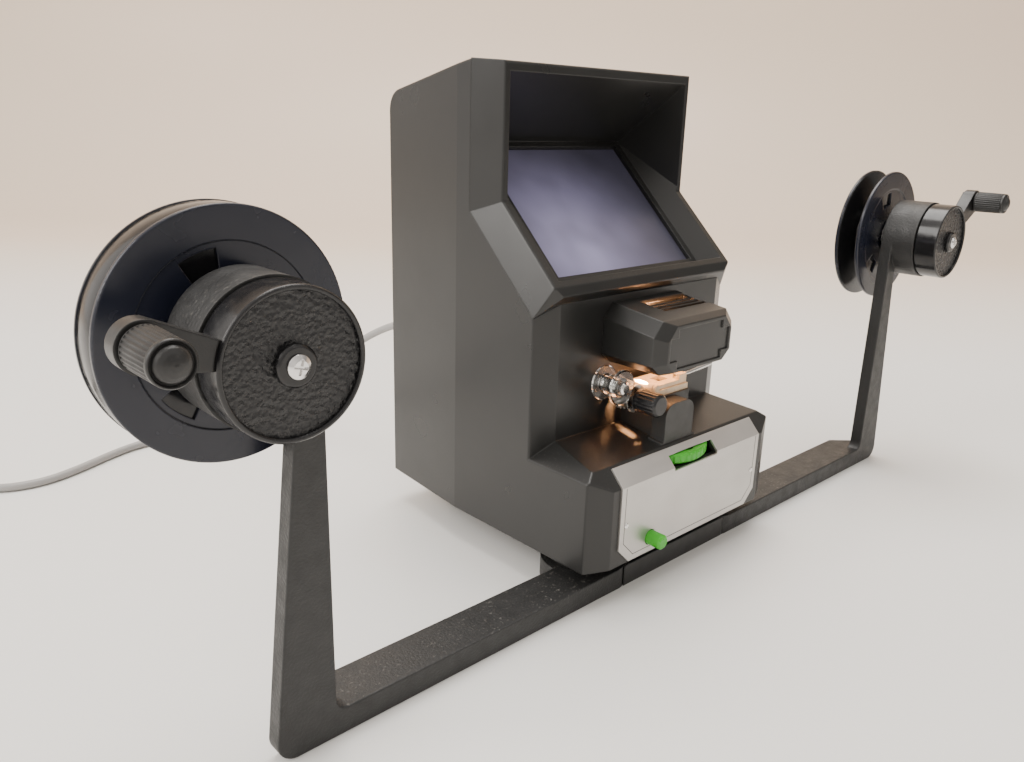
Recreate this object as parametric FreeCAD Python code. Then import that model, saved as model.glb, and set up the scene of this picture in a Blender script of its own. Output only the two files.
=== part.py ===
import FreeCAD, Part

import math
import os

from FreeCAD import Placement, Rotation, Vector

# Film editor viewer for 8 mm film. Millimetres, +Z up, +X to the right along the front,
# -Y towards the user. The origin is on the table, under the middle of the front of the arms.

# Casing
body_half_width = 68.5
rear_draw_in = 5.5
wall = 2.5
ground_gap = 17.0
casing_rear = 145.0
crease_y = 86.0
base_front = -5.5
base_crease_z = 54.0
base_top_front_y = 2.0
base_top_front_z = 62.0
base_top_rear_z = 66.0
recess_y = 30.0
corner_run_x = 11.5
corner_run_y = 5.0
base_side_drop = 7.5
rear_top_drop = 13.5
rear_top_radius = 10.0
edge_round = 1.2
small_round = 0.6
same_place = 1e-3

# Hood and screen
slope_deg = 44.0
seam_low_y = 35.0
seam_low_z = 122.0
seam_top_y = 77.0
top_z = 226.0
lip_wall_z = 127.8
rim_draw_in = 5.5
rim_low_y = 28.0
rim_low_z = 135.6
rim_top_y = 61.5
rim_top_drop = 1.0
lip_draw_in = 4.5
lip_y = 27.0
lip_z = 131.3
rim_wall = 2.2
hood_wall = 2.2
screen_low_y = 40.7
screen_low_z = 136.7
screen_half_width = 48.0
screen_length = 75.6
screen_ledge = 3.5
screen_lap = 3.0
screen_thick = 2.0

# Rear cover, bottom plate and feet
cover_side_margin = 9.0
cover_low_z = 32.0
cover_top_margin = 14.5
cover_lap = 5.0
cover_gap = 0.2
cover_thick = 2.0
cover_corner = 4.0
cover_rib_deep = 4.0
cover_screw_inset = 3.0
cover_screw_rise = 14.0
louvre_count = 6
louvre_pitch = 8.0
louvre_half_width = 17.0
louvre_high = 3.0
louvre_sheet = 0.8
louvre_deep = 4.0
louvre_drop = 60.0
louvre_offset_x = 24.0
plate_gap = 0.2
foot_radius = 8.0
foot_top_radius = 7.0
foot_x = 29.0
foot_y = 126.0
foot_stem_radius = 2.5
screw_radius = 1.5
screw_head_radius = 2.8
screw_head_high = 1.6
screw_length = 6.0
lug_radius = 4.0
lug_high = 8.0
bottom_screw_inset = 8.5
bottom_screw_front_y = 46.0
bottom_screw_rear_inset = 5.0
bottom_screw_rear_y = 128.0
bottom_vent_places = (-52.0, -44.0, 44.0, 52.0)
bottom_vent_half = 1.5
bottom_vent_y = 60.0
bottom_vent_long = 22.0

# Light path
optic_y = 20.0
lens_radius = 8.0
barrel_radius = 10.0
barrel_low_z = 38.5
barrel_high_z = 59.0
barrel_gap = 0.06
mount_low_z = 40.0
mount_high_z = 50.0
mount_wall = 4.0
mount_leg = 5.0
wheel_radius = 26.0
wheel_low_z = 53.4
wheel_thick = 5.0
wheel_hub_radius = 13.0
wheel_seat_gap = 0.3
wheel_flutes = 48
wheel_flute_radius = 0.9
wheel_flute_deep = 0.55
wheel_holes = 6
wheel_hole_radius = 3.6
wheel_room_gap = 0.9
light_radius = 4.0
mirror_thick = 3.0
lower_mirror_z = 28.0
lower_mirror_tilt = 30.2
lower_mirror_half_x = 11.0
lower_mirror_half_y = 13.2
lower_mirror_thick = 2.0
rear_mirror_y = 134.0
rear_mirror_z = 93.5
rear_mirror_tilt = 8.2
rear_mirror_half_x = 42.0
rear_mirror_half_z = 38.0
mirror_rib_x = 30.0
mirror_rib_thick = 4.0
mirror_rib_half_z = 30.0

# Film path
film_y = 19.0
film_width = 8.0
gate_z = 82.0
gate_half_x = 12.4
gate_half_y = 8.0
gate_thick = 2.0
rail_high = 0.9
pressure_gap = 0.3
pressure_thick = 2.0
pressure_half_x = 11.5
hinge_x = -10.8
hinge_z = 86.2
hinge_pin_radius = 0.9
hinge_eye_radius = 1.6
hinge_gap = 0.05
ear_thick = 1.6
lever_radius = 1.1
lever_y = 14.0
lever_z = 88.4
lever_lug_x = 6.0
lever_lug_deep = 4.0
lever_kink_x = 16.0
lever_tip_x = 34.0
lever_tip_rise = 1.4
block_half_x = 12.4
block_front_y = 10.0
tab_x = -4.0
tab_half_x = 10.5
tab_front_y = 2.3
tab_top_z = 81.0
tab_foot_half_x = 12.5
tab_foot_thick = 1.2
tab_round = 6.0
tab_groove = 1.2
prism_z = 73.0
prism_half = 4.2
prism_room_radius = 7.0
prism_y_half = 4.5
shaft_radius = 2.0
shaft_gap = 0.05
sprocket_x = -20.5
sprocket_z = 82.3
sprocket_radius = 5.4
sprocket_flange_radius = 6.5
sprocket_teeth = 12
sprocket_tooth_high = 1.0
sprocket_front_y = 15.2
sprocket_rear_y = 23.8
sprocket_flange = 1.0
tooth_y = 21.6
knob_radius = 5.4
knob_front_y = 1.0
knob_rear_y = 13.2
knob_flutes = 18
knob_flute_radius = 0.6
gear_teeth = 24
gear_front_y = 33.5
gear_thick = 4.0
gear_pressure_deg = 22.0
gear_backlash = 0.12
gear_clearance = 0.25
gear_hub_radius = 4.0
gear_hub = 1.5
roller_x = -32.5
roller_z = 90.0
roller_flange_radius = 8.0
roller_front_y = 13.5
roller_rear_y = 25.5
roller_core_radius = 4.6
roller_flange = 1.4
roller_head_radius = 3.0
roller_head = 1.6
roller_side_gap = 0.3

# Lamp and its housing
lamp_half_x = 29.0
lamp_front_y = 1.4
lamp_face_y = -2.5
lamp_low_z = 97.0
lamp_high_z = 121.0
lamp_rise = 3.7
lamp_corner_x = 5.5
lamp_corner_z = 6.5
lamp_bottom_cut_z = 4.6
lamp_face_inset = 5.5
lamp_panel_margin = 1.6
lamp_panel_depth = 0.7
lamp_wall = 2.0
vent_low_x = -10.0
vent_high_x = 24.0
vent_low_y = 11.0
vent_high_y = 26.0
vent_bars = 3
vent_bar = 1.6
bulb_z = 110.0
bulb_radius = 5.5
bulb_y = 15.0
bulb_neck_radius = 4.5
socket_radius = 7.0
socket_long = 8.0
condenser_radius = 9.0
condenser_thick = 4.5
condenser_drop = 2.5

# Name plate and its controls
plate_side_margin = 4.5
plate_low_z = 18.0
plate_thick = 1.0
plate_strip = 9.4
plate_corner = 7.0
plate_pin_radius = 1.3
plate_pin_high = 0.5
plate_pin_inset = 4.0
plate_pin_z = 36.0
slot_half_width = 16.5
slot_low_z = 52.9
slot_high_z = 58.9
button_x = -31.0
button_z = 25.0
button_radius = 3.4
button_hole_gap = 0.3
button_reach = 8.5
button_collar_radius = 5.0
button_collar = 1.2
button_stem_radius = 2.0
button_stem = 7.0
switch_front_y = 3.4
switch_depth = 14.0
switch_half_x = 7.0
switch_half_z = 5.2
core_side_gap = 10.5
core_wide = 32.0
core_front_y = 92.0
core_rear_y = 112.0
core_high = 24.0
coil_bulge = 6.0

# Arms and the bar between them
arm_high = 10.0
arm_deep = 20.0
arm_end_x = 211.0
pivot_x = 45.0
pivot_y = 20.0
pivot_radius = 20.0
pivot_boss_radius = 16.0
pivot_gap = 0.3
pivot_pin_radius = 5.0
pivot_head_radius = 7.5
pivot_head = 3.0
pivot_lift = 1.0
pivot_nut_radius = 7.0
pivot_nut_high = 8.0
bar_gap = 0.4
bar_setback = 0.5
pedestal_half_x = 22.0
pedestal_front_y = 4.0
pedestal_rear_y = 19.0
post_thick = 6.5
post_outer_top_x = 197.0
post_top_z = 128.0
arm_corner_round = 7.0
arm_inner_round = 4.5
chamfer_start_x = 188.0
chamfer_end_x = 204.0

# Rewinds
axis_x = 210.0
axis_z = 140.5
ring_radius = 21.6
ring_front_y = -12.0
ring_hub_radius = 9.5
ring_floor = 2.5
drum_radius = 20.9
drum_gap = 0.6
drum_front_y = -24.2
drum_wall = 2.0
drum_rim_wide = 1.5
drum_rim_high = 1.2
drum_hub_radius = 6.5
face_thick = 1.0
collar_radius = 5.8
collar_high = 2.2
drum_screw_radius = 3.3
drum_screw_shank = 1.6
drum_screw_deep = 6.0
spindle_radius = 4.0
spindle_gap = 0.06
bush_radius = 6.5
bush_gap = 0.05
shoulder_radius = 9.0
shoulder_front_y = 7.0
shoulder_rear_y = 12.5
spindle_tip_radius = 3.8
spindle_tip_gap = 0.3
spindle_end_y = 34.0
key_high = 1.0
key_half = 0.9
key_front_y = 13.5
key_first_deg = 30.0
key_length = 10.0
lever_root_half = 3.6
lever_tip_half = 6.5
lever_thick = 6.5
lever_front_y = -22.9
crank_throw = 38.0
left_crank_deg = 164.3
right_crank_deg = 35.0
grip_radius = 6.1
grip_end_y = -39.6
grip_gap = 0.3
grip_pin_radius = 2.0
grip_bore_gap = 0.06
grip_flutes = 30
grip_flute_radius = 0.45
grip_taper = 0.5
grip_flute_lean = -1.7
grip_dome = 3.0
grip_wall_end = 6.0

# Reels
reel_radius = 37.5
reel_front_y = 12.8
reel_width = 14.5
flange_thick = 1.6
reel_core_radius = 15.0
reel_line_radius = 27.4
reel_dish = 0.5
reel_bore_gap = 0.08
reel_key_gap = 0.12
window_count = 3
window_low_radius = 18.0
window_high_radius = 25.5
window_deg = 26.0
left_window_deg = 228.0
right_window_deg = 228.0

# Cord
cord_radius = 2.25
relief_length = 28.0
relief_base_radius = 5.0
relief_tip_radius = 3.2
relief_collar_radius = 6.5
relief_collar = 1.6
relief_ribs = 5
relief_x = -15.0
relief_z = 84.0
cord_run_share = 0.45
cord_route = (
    (-15.6, 196.0, 83.0), (-19.0, 221.0, 74.0), (-30.0, 245.0, 57.0), (-49.0, 265.0, 37.0),
    (-73.0, 281.0, 18.5), (-99.0, 293.0, 7.0), (-125.0, 302.0, 2.9), (-146.0, 303.0, 2.4),
    (-165.0, 296.0, 2.3), (-183.0, 286.5, 2.35), (-205.0, 278.5, 2.3), (-226.0, 283.0, 2.35),
    (-240.0, 301.0, 2.3),
)
cord_floor_z = 2.3
coil_x = -275.5
coil_y = 294.0
coil_outer = 33.3
coil_pitch = 4.98
coil_turns_down = 3.5
coil_climb = 0.5
coil_turns_up = 3.25
coil_steps = 16
coil_lead = 36.0
plug_half_wide = 17.6
plug_half_thick = 6.9
plug_length = 32.0
plug_nose = 6.0
plug_tail_half = 5.0
plug_round = 3.0
plug_pin_radius = 2.0
plug_pin_length = 19.0
plug_pin_half_gap = 9.2

rear_half_width = body_half_width - rear_draw_in
rim_half_width = body_half_width - rim_draw_in
lip_half_width = rim_half_width - lip_draw_in
rear_top_z = top_z - rear_top_drop
rim_top_z = top_z - rim_top_drop
cover_half_width = rear_half_width - cover_side_margin
cover_high_z = rear_top_z - cover_top_margin
louvre_low_z = cover_high_z - louvre_drop
cover_screw_x = cover_half_width - cover_screw_inset
cover_screw_places = [
    (x, z) for x in (-cover_screw_x, cover_screw_x)
    for z in (cover_low_z + cover_screw_rise, cover_high_z - cover_screw_rise)
]
bottom_screw_x = body_half_width - bottom_screw_inset
bottom_screw_rear_x = rear_half_width - bottom_screw_rear_inset
bottom_screw_places = [
    (-bottom_screw_x, bottom_screw_front_y), (bottom_screw_x, bottom_screw_front_y),
    (-bottom_screw_rear_x, bottom_screw_rear_y), (bottom_screw_rear_x, bottom_screw_rear_y),
]
slope = math.radians(slope_deg)
slope_y = math.cos(slope)
slope_z = math.sin(slope)
recess_half_width = body_half_width - corner_run_x
seam_knee_z = seam_low_z + (seam_top_y - seam_low_y) * slope_z / slope_y
seam_wall_y = seam_low_y + (lip_wall_z - seam_low_z) * slope_y / slope_z
seam_foot_z = seam_low_z - (seam_low_y - recess_y) * slope_z / slope_y
rim_knee_z = rim_low_z + (rim_top_y - rim_low_y) * slope_z / slope_y
base_top_slope = (base_top_rear_z - base_top_front_z) / (recess_y - base_top_front_y)
plate_half_width = recess_half_width - plate_side_margin
plate_pin_x = plate_half_width - plate_pin_inset
plate_pin_places = [(-plate_pin_x, plate_pin_z), (plate_pin_x, plate_pin_z)]
plate_top_z = ground_gap + wall
inner_wall_y = recess_y + wall
post_inner_x = axis_x - ring_radius
gear_pitch_radius = math.hypot(sprocket_x, sprocket_z - prism_z) / 2.0
gear_rear_y = gear_front_y + gear_thick
reel_rear_y = reel_front_y + reel_width
lever_rear_y = lever_front_y + lever_thick
face_rear_y = drum_front_y + drum_rim_high + face_thick
ring_gap_y = ring_front_y - drum_gap


def block(x0, x1, y0, y1, z0, z1):
    """Box between two opposite corners."""
    return Part.makeBox(x1 - x0, y1 - y0, z1 - z0, Vector(x0, y0, z0))


def rod_x(radius, x0, x1, y, z):
    return Part.makeCylinder(radius, x1 - x0, Vector(x0, y, z), Vector(1, 0, 0))


def rod_y(radius, y0, y1, x, z):
    return Part.makeCylinder(radius, y1 - y0, Vector(x, y0, z), Vector(0, 1, 0))


def rod_z(radius, z0, z1, x, y):
    return Part.makeCylinder(radius, z1 - z0, Vector(x, y, z0), Vector(0, 0, 1))


def ring_y(outer, inner, y0, y1, x, z):
    return rod_y(outer, y0, y1, x, z).cut(rod_y(inner, y0, y1, x, z))


def face_of(points):
    return Part.Face(Part.makePolygon(list(points) + [points[0]]))


def inset_face(points, inset):
    """Face inside a closed outline, its edges moved in by inset with sharp corners."""
    face = face_of(points)
    if inset:
        face = face.makeOffset2D(-inset, join=2)
    return face


def slab_x(points, x0, x1, inset=0.0):
    """Outline in Y and Z, drawn out along X."""
    face = inset_face([Vector(x0, y, z) for y, z in points], inset)
    return face.extrude(Vector(x1 - x0, 0, 0))


def slab_y(points, y0, y1, inset=0.0):
    """Outline in X and Z, drawn out along Y."""
    face = inset_face([Vector(x, y0, z) for x, z in points], inset)
    return face.extrude(Vector(0, y1 - y0, 0))


def slab_z(points, z0, z1, inset=0.0):
    """Outline in X and Y, drawn out along Z."""
    face = inset_face([Vector(x, y, z0) for x, y in points], inset)
    return face.extrude(Vector(0, 0, z1 - z0))


def turned_y(profile, x, z):
    """Outline of radius and Y, turned about an axis along Y through x, z."""
    face = face_of([Vector(x + r, y, z) for r, y in profile])
    return face.revolve(Vector(x, 0, z), Vector(0, 1, 0), 360)


def turned_z(profile, x, y):
    """Outline of radius and Z, turned about an axis along Z through x, y."""
    face = face_of([Vector(x + r, y, z) for r, z in profile])
    return face.revolve(Vector(x, y, 0), Vector(0, 0, 1), 360)


def spun_y(shape, degrees, x, z):
    """Copy turned about an axis along Y, from +X towards +Z."""
    copy = shape.copy()
    copy.rotate(Vector(x, 0, z), Vector(0, -1, 0), degrees)
    return copy


def spun_z(shape, degrees, x, y):
    copy = shape.copy()
    copy.rotate(Vector(x, y, 0), Vector(0, 0, 1), degrees)
    return copy


def tilted(shape, degrees, y, z):
    """Copy of a shape made flat at the origin, turned up about X and moved to y, z."""
    copy = shape.copy()
    copy.Placement = Placement(Vector(0, y, z), Rotation(Vector(1, 0, 0), degrees))
    return copy


def both_sides(points):
    """Outline that is the same on both sides of X = 0, from its right half."""
    return points + [(-x, y) for x, y in reversed(points)]


def mirrored(shape):
    return shape.mirror(Vector(0, 0, 0), Vector(1, 0, 0))


def pair(shape):
    """Two like solids, one on each side."""
    return Part.makeCompound([shape, mirrored(shape)])


def joined(shapes):
    return shapes[0].fuse(shapes[1:]).removeSplitter()


def rounded(shape, radius, wanted):
    """Shape with the straight edges that wanted picks rounded off."""
    edges = [edge for edge in shape.Edges if wanted(edge)]
    return shape.makeFillet(radius, edges)


def upright(edge):
    box = edge.BoundBox
    return box.XLength < same_place and box.YLength < same_place


def lies_at(edge, axis, place):
    """Whether a whole edge lies at one place along the axis X, Y or Z."""
    low = getattr(edge.BoundBox, axis + "Min")
    high = getattr(edge.BoundBox, axis + "Max")
    return abs(low - place) < same_place and abs(high - place) < same_place


def solid_of(faces):
    """Closed solid from flat faces, each a list of points."""
    solid = Part.Solid(Part.Shell([face_of(face) for face in faces]))
    if solid.Volume < 0:
        solid.reverse()
    return solid


def from_corners(corners, side_faces, across_faces):
    """Solid with like sides: faces of its right side, and faces that span both sides."""
    right = {name: Vector(*point) for name, point in corners.items()}
    left = {name: Vector(-point[0], point[1], point[2]) for name, point in corners.items()}
    faces = []
    for names in side_faces:
        faces.append([right[name] for name in names])
        faces.append([left[name] for name in reversed(names)])
    for names in across_faces:
        faces.append([right[name] for name in names] + [left[name] for name in reversed(names)])
    return solid_of(faces)


def screw(x, z, face_y, out, radius, head_radius, head_high, length):
    """Pan head screw along Y; out is -1 when its head faces the user."""
    profile = [
        (0, 0), (0, head_high), (head_radius * 0.6, head_high), (head_radius, head_high * 0.4),
        (head_radius, 0), (radius, 0), (radius, -length), (0, -length), (0, 0),
    ]
    body = turned_y([(r, face_y + out * y) for r, y in profile[:-2] + [(0, -length)]][1:], x, z)
    reach = head_radius * 0.62
    low = face_y + out * head_high * 0.35
    high = face_y + out * (head_high + 1.0)
    arm = block(x - reach, x + reach, min(low, high), max(low, high), z - 0.35, z + 0.35)
    return body.cut([arm, spun_y(arm, 90, x, z)])


def screw_z(x, y, face_z, radius, head_radius, head_high, length):
    """Pan head screw from below along Z."""
    body = screw(0, 0, 0, -1, radius, head_radius, head_high, length)
    body.rotate(Vector(0, 0, 0), Vector(1, 0, 0), 90)
    body.translate(Vector(x, y, face_z))
    return body


def save(name, shape):
    """Write one piece, after a check that it is whole."""
    if not shape.isValid():
        raise ValueError(name + " isn't a valid solid")
    if not shape.Solids:
        raise ValueError(name + " has no solid")
    shape.exportStep(os.path.join("parts", name + ".step"))


# Casing

base_profile = [
    (base_front, ground_gap),
    (base_front, base_crease_z),
    (base_top_front_y, base_top_front_z),
    (recess_y, base_top_rear_z),
    (casing_rear, base_top_rear_z),
    (casing_rear, ground_gap),
]
body_profile = [
    (recess_y, ground_gap),
    (recess_y, seam_foot_z),
    (seam_top_y, seam_knee_z),
    (seam_top_y, top_z),
    (casing_rear, rear_top_z),
    (casing_rear, ground_gap),
]
base_plan = both_sides([
    (recess_half_width, base_front),
    (body_half_width, base_front + corner_run_y),
    (body_half_width, crease_y),
    (rear_half_width, casing_rear),
])
body_plan = both_sides([
    (recess_half_width, recess_y),
    (body_half_width, recess_y + corner_run_y),
    (body_half_width, crease_y),
    (rear_half_width, casing_rear),
])


def base_side_cut(inset):
    """Wedge that takes the long chamfer off one upper side of the base."""
    low_z = base_top_rear_z - base_side_drop
    steep = base_side_drop / corner_run_x
    shift = inset * math.hypot(1.0, steep)
    return slab_y([
        (recess_half_width - corner_run_x, base_top_rear_z + base_side_drop - shift),
        (body_half_width + corner_run_x, low_z - base_side_drop - shift),
        (body_half_width + corner_run_x, base_top_rear_z + base_side_drop),
    ], base_front - wall, casing_rear + wall)


def lip_wedge():
    """Top of the casing's front wall under the hood, down to the slanted joint."""
    return from_corners(
        {
            "foot": (recess_half_width, recess_y, seam_foot_z),
            "wall": (recess_half_width, recess_y, lip_wall_z),
            "back": (recess_half_width, seam_wall_y, lip_wall_z),
            "low": (body_half_width, seam_low_y, seam_low_z),
        },
        [("foot", "low", "wall"), ("low", "back", "wall")],
        [("foot", "wall"), ("wall", "back"), ("back", "low", "foot")],
    )


def casing_form(inset):
    """Outer form of the casing, or the same form a wall thickness inside it."""
    base = slab_x(base_profile, -body_half_width, body_half_width, inset)
    base = base.common(slab_z(base_plan, 0, top_z, inset))
    body = slab_x(body_profile, -body_half_width, body_half_width, inset)
    body = body.common(slab_z(body_plan, 0, top_z, inset))
    cuts = [base_side_cut(inset), mirrored(base_side_cut(inset))]
    form = base.cut(cuts).fuse(body)
    if not inset:
        form = form.fuse(lip_wedge())
    return form.removeSplitter()


def light_doorway():
    """Opening through the joint of casing and hood, which the picture's light comes through."""
    narrow = slab_x([
        (recess_y + 1.0, lip_wall_z + wall),
        (seam_top_y - wall, seam_knee_z),
        (seam_top_y - wall, rim_top_z - 2 * wall),
        (seam_top_y + 2 * wall, rim_top_z - 2 * wall),
        (seam_top_y + 2 * wall, lip_wall_z + wall),
    ], -recess_half_width, recess_half_width)
    half = body_half_width - 3 * wall
    wide = block(-half, half, seam_top_y - wall, seam_top_y + 2 * wall,
                 seam_knee_z + 2 * wall, rim_top_z - 2 * wall)
    return narrow.fuse(wide)


def rear_ridge(edge):
    return lies_at(edge, "Y", casing_rear) and lies_at(edge, "Z", rear_top_z)


def outer_edge(edge):
    """Edges of the casing that are rounded: none on its foot, joints, creases or low ridges."""
    box = edge.BoundBox
    if upright(edge):
        return not (lies_at(edge, "Y", crease_y) or lies_at(edge, "Y", seam_top_y))
    if box.ZMin > rear_top_z - 2 * rear_top_radius:
        return box.YLength > same_place and box.XLength < rear_half_width
    on_base = box.ZMin > base_crease_z - wall and box.ZMax < base_top_rear_z + wall
    low_ridge = box.ZMin > base_top_front_z - same_place and box.YLength > same_place
    return on_base and box.YMin < recess_y - wall and not low_ridge


def casing():
    form = rounded(casing_form(0), rear_top_radius, rear_ridge)
    form = rounded(form, edge_round, outer_edge)
    hollow = casing_form(wall)
    floor = slab_z(base_plan, ground_gap - wall, plate_top_z + wall, wall)
    half = cover_half_width - cover_lap
    rear_opening = block(-half, half, casing_rear - 2 * wall, casing_rear + wall,
                         cover_low_z + cover_lap, cover_high_z - cover_lap)
    slot = block(-slot_half_width, slot_half_width, base_front - wall, base_front + 4 * wall,
                 slot_low_z, slot_high_z)
    wheel_room = rod_z(wheel_radius + wheel_room_gap, slot_low_z, slot_high_z, 0, optic_y)
    light_hole = rod_z(light_radius, base_crease_z, gate_z, 0, film_y)
    prism_hole = rod_y(shaft_radius + shaft_gap, recess_y - wall, inner_wall_y + wall, 0, prism_z)
    sprocket_hole = rod_y(shaft_radius + shaft_gap, recess_y - wall, inner_wall_y + wall,
                          sprocket_x, sprocket_z)
    roller_hole = rod_y(shaft_radius, recess_y - wall, inner_wall_y + wall, roller_x, roller_z)
    button_hole = rod_y(button_radius + button_hole_gap, base_front - wall, base_front + 2 * wall,
                        button_x, button_z)
    pin_holes = [rod_y(plate_pin_radius, base_front - wall, base_front + wall, x, z)
                 for x, z in plate_pin_places]
    cover_holes = [rod_y(screw_radius, casing_rear - 2 * wall, casing_rear + wall, x, z)
                   for x, z in cover_screw_places]
    shell = form.cut([hollow, floor, light_doorway(), rear_opening, slot, wheel_room, light_hole,
                      prism_hole, sprocket_hole, roller_hole, button_hole] + pin_holes
                     + cover_holes)
    lugs = []
    for x, y in bottom_screw_places:
        lug = rod_z(lug_radius, plate_top_z, plate_top_z + lug_high, x, y)
        web = block(min(x, math.copysign(body_half_width, x)), max(x, math.copysign(body_half_width, x)),
                    y - lug_radius, y + lug_radius, plate_top_z, plate_top_z + lug_high)
        lugs.append(lug.fuse(web).cut(rod_z(screw_radius, plate_top_z, plate_top_z + screw_length,
                                            x, y)).common(form))
    return shell.fuse(lugs).removeSplitter()


def rear_cover():
    low, high = cover_low_z, cover_high_z
    outline = both_sides([
        (cover_half_width - cover_corner, low), (cover_half_width, low + cover_corner),
        (cover_half_width, high - cover_corner), (cover_half_width - cover_corner, high),
    ])
    plate = slab_y(outline, casing_rear, casing_rear + cover_thick)
    half = cover_half_width - cover_lap - cover_gap
    low_in = low + cover_lap + cover_gap
    high_in = high - cover_lap - cover_gap
    rib = block(-half, half, casing_rear - cover_rib_deep, casing_rear, low_in, high_in)
    room = block(-half + cover_thick, half - cover_thick, casing_rear - cover_rib_deep,
                 casing_rear, low_in + cover_thick, high_in - cover_thick)
    shell = plate.fuse(rib.cut(room))
    slots = []
    hoods = []
    for column in (-louvre_offset_x, louvre_offset_x):
        for row in range(louvre_count):
            z = louvre_low_z + row * louvre_pitch
            x0, x1 = column - louvre_half_width, column + louvre_half_width
            slots.append(block(x0, x1, casing_rear - wall, casing_rear + wall, z, z + louvre_high))
            hoods.append(slab_x([
                (casing_rear, z + louvre_high), (casing_rear, z + louvre_high + louvre_sheet),
                (casing_rear - louvre_deep, z + louvre_sheet), (casing_rear - louvre_deep, z),
            ], x0, x1))
    holes = [rod_y(screw_radius, casing_rear - wall, casing_rear + wall, x, z)
             for x, z in cover_screw_places]
    cord_hole = rod_y(relief_base_radius, casing_rear - wall, casing_rear + wall,
                      relief_x, relief_z)
    tilt = math.radians(rear_mirror_tilt)
    back_y = rear_mirror_y + mirror_thick / math.cos(tilt)
    lean = math.tan(tilt)
    top = rear_mirror_z + mirror_rib_half_z
    bottom = rear_mirror_z - mirror_rib_half_z
    ribs = [slab_x([
        (casing_rear, bottom), (casing_rear, top),
        (back_y - lean * mirror_rib_half_z, top), (back_y + lean * mirror_rib_half_z, bottom),
    ], x - mirror_rib_thick / 2, x + mirror_rib_thick / 2) for x in (-mirror_rib_x, mirror_rib_x)]
    shell = shell.cut(slots + holes + [cord_hole])
    return shell.fuse(hoods + ribs).removeSplitter()


def rear_mirror():
    """Large mirror that throws the picture up onto the screen."""
    plate = block(-rear_mirror_half_x, rear_mirror_half_x, 0, mirror_thick,
                  -rear_mirror_half_z, rear_mirror_half_z)
    return tilted(plate, rear_mirror_tilt, rear_mirror_y, rear_mirror_z)


def lower_mirror_axes():
    tilt = math.radians(lower_mirror_tilt)
    return math.cos(tilt), math.sin(tilt)


def lower_mirror():
    plate = block(-lower_mirror_half_x, lower_mirror_half_x, -lower_mirror_half_y,
                  lower_mirror_half_y, -lower_mirror_thick, 0)
    return tilted(plate, -lower_mirror_tilt, optic_y, lower_mirror_z)


def bottom_plate():
    plate = slab_z(base_plan, ground_gap, plate_top_z, wall + plate_gap)
    bosses = [rod_z(pivot_boss_radius, arm_high + pivot_gap, ground_gap, side * pivot_x, pivot_y)
              for side in (-1, 1)]
    bolt_high = plate_top_z + pivot_nut_high
    nuts = [rod_z(pivot_nut_radius, plate_top_z, bolt_high, side * pivot_x, pivot_y)
            for side in (-1, 1)]
    along, down = lower_mirror_axes()
    half = lower_mirror_half_y - 2.0
    under = lower_mirror_thick
    low_y = optic_y + half * along - under * down
    high_y = optic_y - half * along - under * down
    wedge = slab_x([
        (high_y, plate_top_z), (high_y, lower_mirror_z + half * down - under * along),
        (low_y, lower_mirror_z - half * down - under * along), (low_y, plate_top_z),
    ], -mirror_rib_thick, mirror_rib_thick)
    holes = [rod_z(pivot_pin_radius, arm_high, bolt_high - wall, side * pivot_x, pivot_y)
             for side in (-1, 1)]
    holes += [rod_z(screw_radius, ground_gap, plate_top_z, x, y) for x, y in bottom_screw_places]
    holes += [rod_z(foot_stem_radius, ground_gap, plate_top_z, side * foot_x, foot_y)
              for side in (-1, 1)]
    vents = [block(vent_x - bottom_vent_half, vent_x + bottom_vent_half, bottom_vent_y,
                   bottom_vent_y + bottom_vent_long, ground_gap, plate_top_z)
             for vent_x in bottom_vent_places]
    return joined([plate, wedge] + bosses + nuts).cut(holes + vents)


def centre_bar():
    bar = block(-pivot_x, pivot_x, bar_setback, arm_deep, 0, arm_high)
    room = [rod_z(pivot_radius + bar_gap, 0, arm_high, side * pivot_x, pivot_y)
            for side in (-1, 1)]
    pedestal = block(-pedestal_half_x, pedestal_half_x, pedestal_front_y, pedestal_rear_y,
                     arm_high, ground_gap)
    bar = rounded(bar, small_round, lambda edge: lies_at(edge, "Y", bar_setback)
                  and lies_at(edge, "Z", arm_high))
    return bar.cut(room).fuse(pedestal).removeSplitter()


def rear_feet():
    foot = turned_z([
        (0, 0), (foot_radius - 1.0, 0), (foot_radius, 1.0), (foot_top_radius, ground_gap),
        (foot_stem_radius, ground_gap), (foot_stem_radius, plate_top_z), (0, plate_top_z),
    ], foot_x, foot_y)
    return pair(foot)


def cover_screws():
    screws = [screw(x, z, casing_rear + cover_thick, 1, screw_radius, screw_head_radius,
                    screw_head_high, screw_length - wall) for x, z in cover_screw_places]
    screws += [screw_z(x, y, ground_gap, screw_radius, screw_head_radius, screw_head_high,
                       screw_length) for x, y in bottom_screw_places]
    return Part.makeCompound(screws)


# Name plate

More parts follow.
